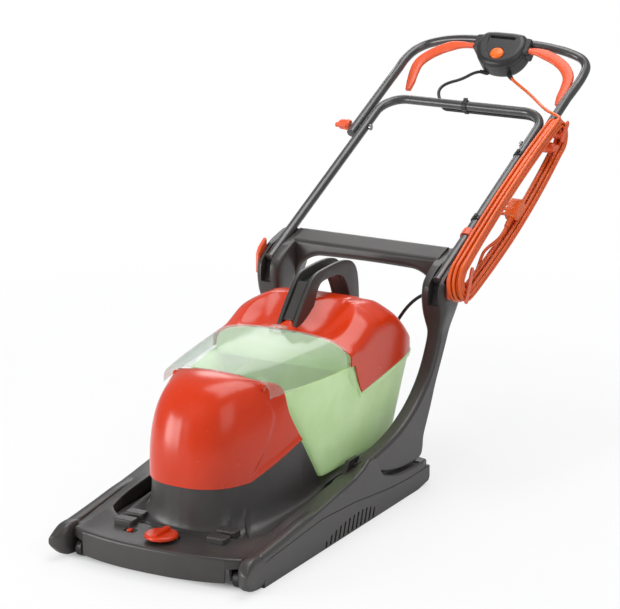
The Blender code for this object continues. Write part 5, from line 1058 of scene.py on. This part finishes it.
def addHood(m):
    plan = pedestalPlan(m)
    edge = insetPlan(openEdge(fineStations(6)[:, 4:6], glide)[0], m["clearance"])
    wall, floor, skirt = m["wall"], m["floor"], m["skirt"]
    whole = 2 * pi

    def edgeRing(inset):  # the opening's edge, read in the directions of the pedestal's points
        ring, way = insetPlan(edge, inset) - m["centre"], plan - m["centre"]
        angle = np.unwrap(np.arctan2(ring[:, 1], ring[:, 0])) % whole
        order = np.argsort(angle)
        radius = np.linalg.norm(ring, axis=1)[order]
        reach = np.interp(np.arctan2(way[:, 1], way[:, 0]) % whole, angle[order], radius, period=whole)
        return m["centre"] + unit(way) * reach[:, None]

    top = np.interp(plan[:, 1], *pedestalHeights)
    crest = pedestalPlan(m, -0.0012)
    rim, inward = edgeRing(0), (edgeRing(0.02) - edgeRing(0)) / 0.02
    trench = ease((np.abs(rim[:, 0]) - 0.085) / 0.045) * ease((0.12 - rim[:, 1]) / 0.08)
    fall = m["drop"] * trench + 0.0012
    deck = deckHeight(rim[:, 1])
    ditch = (deck - 0.0012) * (1 - trench) + np.maximum(deck - m["trench"], 0.05) * trench
    wide = m["channel"] * trench

    def ringAt(inset, z):
        return np.column_stack([rim + inward * np.reshape(inset, (-1, 1)), z * np.ones(len(rim))])

    def flat(plan, z):
        return np.column_stack([plan, z * np.ones(len(plan))])

    rings = [ringAt(0, skirt), ringAt(0, ditch - 0.0012), ringAt(0.0008, ditch), ringAt(0.0012 + wide, ditch),
             ringAt(0.0016 + wide, np.minimum(deck - fall, ditch + 0.01)),
             ringAt(0.0018 + wide, deck - fall - 0.0012 * trench)]
    start = ringAt(0.0026 + wide, 0)[:, :2]
    rings.append(flat(start, deckHeight(start[:, 1]) - fall))
    for c, s in zip(*superCurve(np.linspace(0, pi / 2, 26)[1:], 2.9)):
        p = start + (crest - start) * s
        rings.append(flat(p, (deckHeight(p[:, 1]) - fall) * c + top * (1 - c)))
    inner = pedestalPlan(m, -0.0012 - wall)
    hole = m["hub"] + unit(inner - m["hub"]) * 0.014
    rings += [flat(inner, top), flat(inner, floor), flat(hole, floor), flat(hole, floor - wall),
              flat(pedestalPlan(m, 0.004), np.minimum(deckHeight(plan[:, 1]) - 0.003, floor - 0.003)),
              ringAt(0.006 + wide, deck - fall - 0.005), ringAt(0.005 + wide, ditch - 0.003),
              ringAt(wall, ditch - 0.0028), ringAt(wall, skirt)]
    passage = slab(roundedBox((-0.05, 0.075), (0.05, 0.145), 0.004), "z", 0.04, 0.12, 0.0005, 1)
    parts = [carve(ringPiece("shell", rings, loop=True), [passage])]
    seat = float(deckHeight(-0.238))
    for side in bothSides:
        x = side * glide["tabX"]
        pad = roundedBox((x - 0.0195, -0.254), (x + 0.0195, -0.229), 0.005)
        parts.append(slab(pad, "z", seat - 0.006, seat + 0.0092, 0.0032))
    for side in bothSides:
        for y, out, up in ((-0.06, 0.0126, 0.066), (0.13, 0, 0.078)):
            guide = [(y - 0.008, 0.048), (y + 0.008, 0.048), (y + 0.008, up), (y - 0.008, up)]
            parts.append(slab(guide, "x", side * (0.146 + out), side * (0.1501 + out), 0.0008))
    assembled("motorHood", parts, "charcoal", "hood", "hood", 0.0006, crease=45)


addHood(hoodShape)
print("frame and hood ready")

# yoke; a shoulder row holds front y and z, rear y and z, x of the inner and outer side
yokeShape = {
    "pin": (0, 0.112, 0.096), "pinRadius": 0.0044, "tubeX": 0.185, "tubeGap": 0.0008, "beamStations": 61,
    "arm": mm([(100, 89), (97.5, 97.5), (101, 106), (110, 112), (140, 118), (193, 127), (237, 139),
               (300, 169), (350, 211), (383, 262), (398, 300), (418, 322), (440, 330), (448, 318),
               (431, 278), (406, 235), (377, 188), (358, 150), (340, 118), (328, 96), (325, 75),
               (318, 60.5), (300, 55.5), (250, 56), (210, 61), (170, 69.5), (130, 81.5), (112, 83)]),
    "shoulder": mm([
        (389, 278, 429, 274, 166.4, 197.1), (390.5, 289, 437, 290, 165, 198.5),
        (388, 305, 445, 311, 160.5, 203.5), (385, 322, 453, 331, 156.5, 208),
        (382, 340, 462, 348, 154.8, 209.7), (380, 356, 472, 362, 154.5, 210),
        (383, 378, 490, 384, 154.5, 210), (396, 390.5, 501, 403, 154.5, 210),
        (413, 401, 506, 418, 154.8, 209.7), (430, 408.5, 504, 426, 156, 208.5)]),
    "seat": mm([(392, 352), (392, 394), (427, 416), (427, 352)])}


def addYoke(m):
    parts = []
    rows = softRows(m["shoulder"], np.linspace(0, len(m["shoulder"]) - 1, 37))
    frontY, frontZ, rearY, rearZ, near, far = rows.T[:, :, None]
    c, q = superCurve(circle(48), 5)
    share = (q + 1) / 2
    across = (near + far) / 2 + (far - near) / 2 * c
    for side in bothSides:
        rings = [across * side, frontY * (1 - share) + rearY * share, frontZ * (1 - share) + rearZ * share]
        parts += [slab(smoothPath(m["arm"], 150, True), "x", side * 0.166, side * 0.1975, 0.0085, 7),
                  ringPiece("shoulder", np.stack(rings, axis=2))]
    x = np.linspace(-0.16, 0.16, m["beamStations"])
    corner = np.clip((np.abs(x) - 0.098) / 0.057, 0, 1)
    lift = 0.026 - 0.004 * (x / 0.155) ** 2 - 0.052 * (1 - np.sqrt(1 - corner**2 * 0.995))
    rings = []
    for at, up in zip(x, lift):
        section = roundedLoop([(0.45, 0.415), (0.497, 0.43), (0.507, 0.42),
                               (0.502, 0.402 + min(up, 0) * 0.8), (0.488, 0.372 + up), (0.456, 0.362 + up),
                               (0.448, 0.372 + up)], 0.011, 7)
        rings.append(np.column_stack([np.full(len(section), at), section]))
    base = carve(parts[0], parts[1:] + [ringPiece("beam", rings)], "UNION")
    cutters = []
    py, pz = tube["pin"]
    r = tube["radius"] + m["tubeGap"]
    slot = [(py - 0.06, pz + 0.09), (py - 0.06, pz - 0.048), (py - 0.01, pz - 0.048), (py - 0.001, pz - 0.03),
            (py + 0.004, pz - r - 0.001),
            (py + 0.003 + 0.903 * 0.16 + 0.43 * r, pz + 0.43 * 0.16 - 0.903 * r), (py + 0.15, pz + 0.14),
            (py, pz + 0.14)]
    for side in bothSides:
        low, high = sorted((side * 0.157, side * 0.199))
        cutters += [slab(slot, "x", side * (m["tubeX"] - r), side * (m["tubeX"] + r), 0.0002, 1),
                    turned([(m["pinRadius"], low), (m["pinRadius"], high)], m["pin"], "x", 32),
                    slab(m["seat"], "x", side * 0.2012, side * 0.214, 0.0002, 1)]
    assembled("yokeFork", [carve(base, cutters)], "charcoal", "yoke", "yoke", 0.001, 3)


addYoke(yokeShape)

# side rails: straight sole, vents, and a round horn at the front end
rail = {
    "inner": 0.176, "outer": 0.205, "edge": 0.0024, "vents": 12,
    "outline": mm([(-302, 0), (290, 0), (332, 6), (337.5, 13), (337.5, 36.4), (329, 36.6), (310, 36.6),
                   (250, 36.6), (195, 38.6), (146, 42.6), (130, 44.6), (114, 46.6), (100, 48.1), (86, 49.6),
                   (68, 51.6), (35, 55.6), (-95, 62.6), (-250, 51.6), (-302, 47.4)]),
    "hollow": mm([(-298, 5), (288, 5), (328, 11), (328, 80), (-298, 80)])}


def addRail(m, side, node):
    body = slab(m["outline"], "x", side * m["inner"], side * m["outer"], m["edge"], 3)
    cutters = [slab(m["hollow"], "x", side * 0.172, side * 0.2005, 0.0002, 1)]
    for i in range(m["vents"]):
        y = -0.084 + i * 0.0165
        top = 0.006 + 0.027 * sqrt(max(0, 1 - ((y - 0.012) / 0.104) ** 2)) * (0.8 + 1.6 * (y + 0.09))
        lean = 0.35 * (top - 0.0035)
        slot = [(y, 0.0035), (y + 0.0062, 0.0035), (y + 0.0062 + lean, top), (y + lean, top)]
        cutters.append(slab(slot, "x", side * 0.198, side * 0.208, 0.0002, 1))
    curve = 0.03 * (1 - np.cos(np.linspace(0.1, pi / 2, 22)))
    y = np.concatenate([-0.364 + curve, np.linspace(-0.33, -0.278, 12)])
    full = np.sqrt(1 - np.clip((y + 0.334) / -0.03, 0, 1) ** 2)
    c, q = superCurve(circle(48), 3.4)
    top = through([-0.364, -0.334, -0.31, -0.278], [0.052, 0.0615, 0.062, 0.056], y)
    low = through([-0.364, -0.345, -0.32, -0.278], [0.016, 0.006, 0.0006, 0.0006], y)
    half = 0.0148 * full ** 0.8 + 0.0002
    tall = (top - low) / 2 * (0.25 + 0.75 * full)
    grid = np.broadcast_arrays(side * (0.2052 - half[:, None] * (1 - c)), y[:, None],
                               ((top + low) / 2)[:, None] + tall[:, None] * q)
    axle = turned([(0.0032, side * 0.16), (0.0032, side * 0.179)], glide["axle"], "x", 20)
    parts = [carve(body, cutters), carve(ringPiece("horn", np.stack(grid, axis=2)), [axle])]
    assembled(camel(node), parts, "charcoal", "frame", node, 0.0008)


addRail(rail, 1, "side_rail_right")
addRail(rail, -1, "side_rail_left")

# the smaller nodes keep their own shape, with edges rounded by the width beside them
copies = {
    "pointer_track box_release": 0.0004, "cable_clip_lower cable_clip_upper cable_clip_cross": 0.0003,
    "front_wheel_right front_wheel_left": 0.0004, "cable_hook_upper cable_hook_lower": 0.0005,
    "release_lever_right release_lever_left wing_knob_right wing_knob_left": 0.0006, "height_dial": 0.001,
    "height_pointer": 0.0003, "mains_plug": 0.0005,
    "cutter_blade blade_nut knob_bolt_right knob_bolt_left": 0.0004,
}
for nodes, width in copies.items():
    for node in nodes.split():
        fineCopy(node, width)
print("yoke and the smaller pieces ready")

# motor cable: five runs, each repeating the part's route, and the sleeves where cords leave the switch box
motor = {
    "radius": 0.0033, "side": (0, 0.00675, -0.01418), "exit": (-0.025, -0.037, -0.01), "gap": 0.0004,
    "grommet": (0.145, 0.456, 0.35), "run": (-0.45, -0.7, -0.55), "saddle": (0.324, 0.0588),
    "over": mm([(-36.8, 1030, 670), (-64.3, 1010, 654.4), (-84.9, 985, 648.1), (-87.7, 955, 642.2),
                (-81, 932, 635), (-70, 918, 623), (-60, 908, 612)]),
    "fold": mm([(183.5, 533, 424), (178, 520, 404), (164, 506, 382), (154, 486, 364)]),
    "under": mm([(122, 433, 335), (96, 424, 302), (60, 424, 230), (44, 420, 150), (40, 400, 90),
                 (40, 370, 64), (40, 348, 59.4)]),
    "inside": mm([(40, 300, 60.5), (40, 272, 70)])}


def addMotorCable(m):
    cross = lowerPath()
    middle = cross[len(cross) // 2]
    begin = [(-0.045, middle[1], middle[2]), (0, middle[1], middle[2])]
    legEnd = (0.185, 0.55, tubeHeight(0.55))
    along = np.concatenate([begin, cross[cross[:, 0] > 0.01][:-1], [legEnd]]) + m["side"]
    u, v, n = m["exit"]
    start = facePoint(u, v, n)
    top = cableRun(start, facePoint(u, v - 0.01, n) - start, m["over"], along[0] - [m["gap"], 0, 0],
                   (1, 0, 0), 13)
    down = along[-1] - along[-2]
    half = m["gap"] / 2
    bend = cableRun(stepped(along[-1], down, m["gap"]), down, m["fold"],
                    stepped(m["grommet"], m["run"], -half), m["run"], 9)
    y, z = m["saddle"]
    tail = cableRun(stepped(m["grommet"], m["run"], half), m["run"], m["under"], (0.04, y + half, z),
                    (0, -1, 0), 17)
    short = cableRun((0.04, y - half, z), (0, -1, 0), m["inside"], (0.04, 0.23, 0.077), (0, -1, 0), 7, 0.012)
    runs = {"motor_cable_top": (top, "lower_handle", "upper_handle", top[-1], top[4]),
            "motor_cable_handle": (along, "lower_handle", None, None, None),
            "motor_cable_bend": (bend, "yoke", "lower_handle", bend[-1], bend[0]),
            "motor_cable_tail": (tail, "frame", "yoke", tail[np.argmin(np.abs(tail[:, 2] - 0.3))], tail[0]),
            "motor_cable_hood": (short, "frame", "hood", short[0], short[-1])}
    for node, (path, first, second, start, end) in runs.items():
        piece = cordCurve(camel(node), path + shift, m["radius"])
        dress(piece, "blackCord", None if second else first, [node])
        if second:
            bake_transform(piece, first, second, start=tuple(start + shift), end=tuple(end + shift))
    return top


def addSleeve(name, path, length, wide, thin):
    # tapered, ribbed sleeve along the cord's first stretch
    line = readAt(path, runLength(path), np.linspace(0.0035, 0.0035 + length, 45))
    share = np.linspace(0, 1, 45)
    ribs = 0.0007 * (np.sin(share * 12 * pi) > 0.2) * (share > 0.15) * (share < 0.9)
    radius = wide + (thin - wide) * share ** 0.8 - ribs
    radius[[0, -1]] -= 0.0006
    ringPiece(name, tubeGrid(line, radius, 24, (0, -0.7, 0.7)), "rubber", "upper_handle")


motorTop = addMotorCable(motor)
addSleeve("mainsSleeve", route - shift, 0.024, 0.0062, 0.0042)
addSleeve("motorSleeve", motorTop, 0.02, 0.006, 0.0042)

# switch box, in its own axes: u across, v up the face, n out of it
switchBox = {
    "scale": 1.12, "split": 0.0134, "count": 120, "crown": (0.017, 0.0302, 0.013),
    "belly": (-0.009, -0.024, 0.014), "button": (0, -0.0185), "buttonRadius": 0.0142, "oval": 1.08,
    "half": mm([(0, 37), (24, 36.5), (40, 33), (48, 20), (50, 2), (44.5, -18), (33, -33), (17, -41),
                (0, -43)]),
    "panel": mm([(-32.5, 26.2), (-31, 6), (-21.5, -19), (-11, -33.5), (11, -33.5), (21.5, -19), (31, 6),
                 (32.5, 26.2)]),
    "ear": mm([(64, -6), (64, 30), (42, 33), (42, -8)]),
    "bulge": mm([(15, -33), (17.6, -31.6), (18.8, -29), (19, -20), (19, -6), (17.6, -3)])}


def faceRings(plans):  # rings given as plan and height above the face
    return [[facePoint(u, v, n) for u, v in plan] for plan, n in plans]


def faceSlab(plan, low, high, radius=0.0002):
    soft = min(radius, (high - low) * 0.2)
    small = insetPlan(plan, soft)
    levels = [(small, low), (plan, low + soft), (plan, high - soft), (small, high)]
    return ringPiece("slab", faceRings(levels))


def faceTurned(profile, u, v, oval=1):
    a = circle(48)
    return faceRings([(np.column_stack([u + r * np.cos(a) * oval, v + r * np.sin(a)]), n)
                      for r, n in profile])


def addSwitch(m):
    outline = smoothPath(mirrored(m["half"] * m["scale"], (-1, 1)), m["count"], True)
    t = np.linspace(0, pi / 2, 14)
    split, button = m["split"], (*m["button"], m["oval"])

    def rounded(base, top, depth, angles):
        return [(insetPlan(outline, depth * (1 - cos(a))), base + (top - base) * sin(a))
                for a in angles]

    def ears(low, high):
        return [faceSlab(roundedLoop(m["ear"] * [side, 1], 0.005), low, high, 0.002) for side in bothSides]

    rings = [(insetPlan(outline, 0.0006), split + 0.0002), (outline, split + 0.001), (outline, m["crown"][0])]
    front = ringPiece("front", faceRings(rings + rounded(*m["crown"], t[1:])))
    r = m["buttonRadius"] + 0.0006
    well = [(r + 0.001, 0.0128), (r + 0.001, 0.0232), (r, 0.0236), (r, 0.04)]
    cutters = [faceSlab(roundedLoop(m["panel"], 0.007, 7), 0.0282, 0.04),
               faceSlab(roundedBox((-0.0285, 0.0196), (0.0285, 0.0252), 0.0026), 0.0235, 0.04),
               ringPiece("well", faceTurned(well, *button))]
    collar = [(r + 0.0002, 0.0272), (r + 0.0022, 0.0272), (r + 0.0022, 0.029), (r + 0.0012, 0.0296),
              (r + 0.0002, 0.029)]
    parts = [carve(front, cutters), ringPiece("collar", faceTurned(collar, *button), loop=True)]
    assembled("switchFront", parts + ears(split + 0.0002, 0.024), "darkPlastic", "upper_handle",
              "switch_box_front", 0.0007, 3, 40)
    rings = rounded(*m["belly"], t[:0:-1]) + [(outline, m["belly"][0]), (outline, split - 0.001),
                                              (insetPlan(outline, 0.0006), split - 0.0002)]
    parts = [ringPiece("rear", faceRings(rings)), ringPiece("bulge", faceTurned(m["bulge"], 0, 0.027))]
    assembled("switchRear", parts + ears(-0.01, split - 0.0002), "darkPlastic", "upper_handle",
              "switch_box_rear", 0.0007, 3, 40)
    r = m["buttonRadius"]
    dome = [(0.006, 0.017), (r + 0.0008, 0.017), (r + 0.0008, 0.0225), (r, 0.0228), (r, 0.0285)]
    dome += [(r * cos(b) ** 0.7, 0.0285 + 0.0062 * sin(b))
             for b in np.linspace(0, pi / 2, 12)[1:-1]] + [(0.0003, 0.0347)]
    ringPiece("lockButton", faceTurned(dome, *button), "button", "lock_button", ["lock_button"])


addSwitch(switchBox)

# carry handle: two walls with a black groove between them
carry = {
    "outer": mm([(130, 325), (142, 348), (203, 413), (216, 419.5), (270, 424.5), (330, 422.5),
                 (364, 412.5), (380, 396), (388, 370), (392, 326)]),
    "inner": mm([(357, 326), (345, 360), (328, 386), (310, 397.5), (260, 401), (233, 396), (210, 360),
                 (200, 325)]),
    "centre": (0.262, 0.33), "half": 0.0205, "groove": 0.0131, "depth": 0.018}


def addCarry(m):
    outer, inner = smoothPath(m["outer"], 70), smoothPath(m["inner"], 46)
    way = unit(outer - m["centre"])
    floor = outer - way * m["depth"]
    groove = m["groove"]
    parts = [slab(np.concatenate([floor, inner]), "x", -groove, groove, 0.0002, 1)]
    parts += [slab(np.concatenate([outer, inner]), "x", side * (groove - 0.0004), side * m["half"], 0.0026, 5)
              for side in bothSides]
    assembled("carryHandle", parts, "charcoal", "grass_box", "carry_handle")
    strip = np.concatenate([floor + way * 0.0024, (floor - way * 0.0004)[::-1]])
    rings = plateRings(strip, "x", 0.0002 - groove, groove - 0.0002, 0.0008, 2)
    ringPiece("carryInlay", rings, "gloss", "grass_box")


addCarry(carry)
print("motor cable, switch box and carry handle ready")
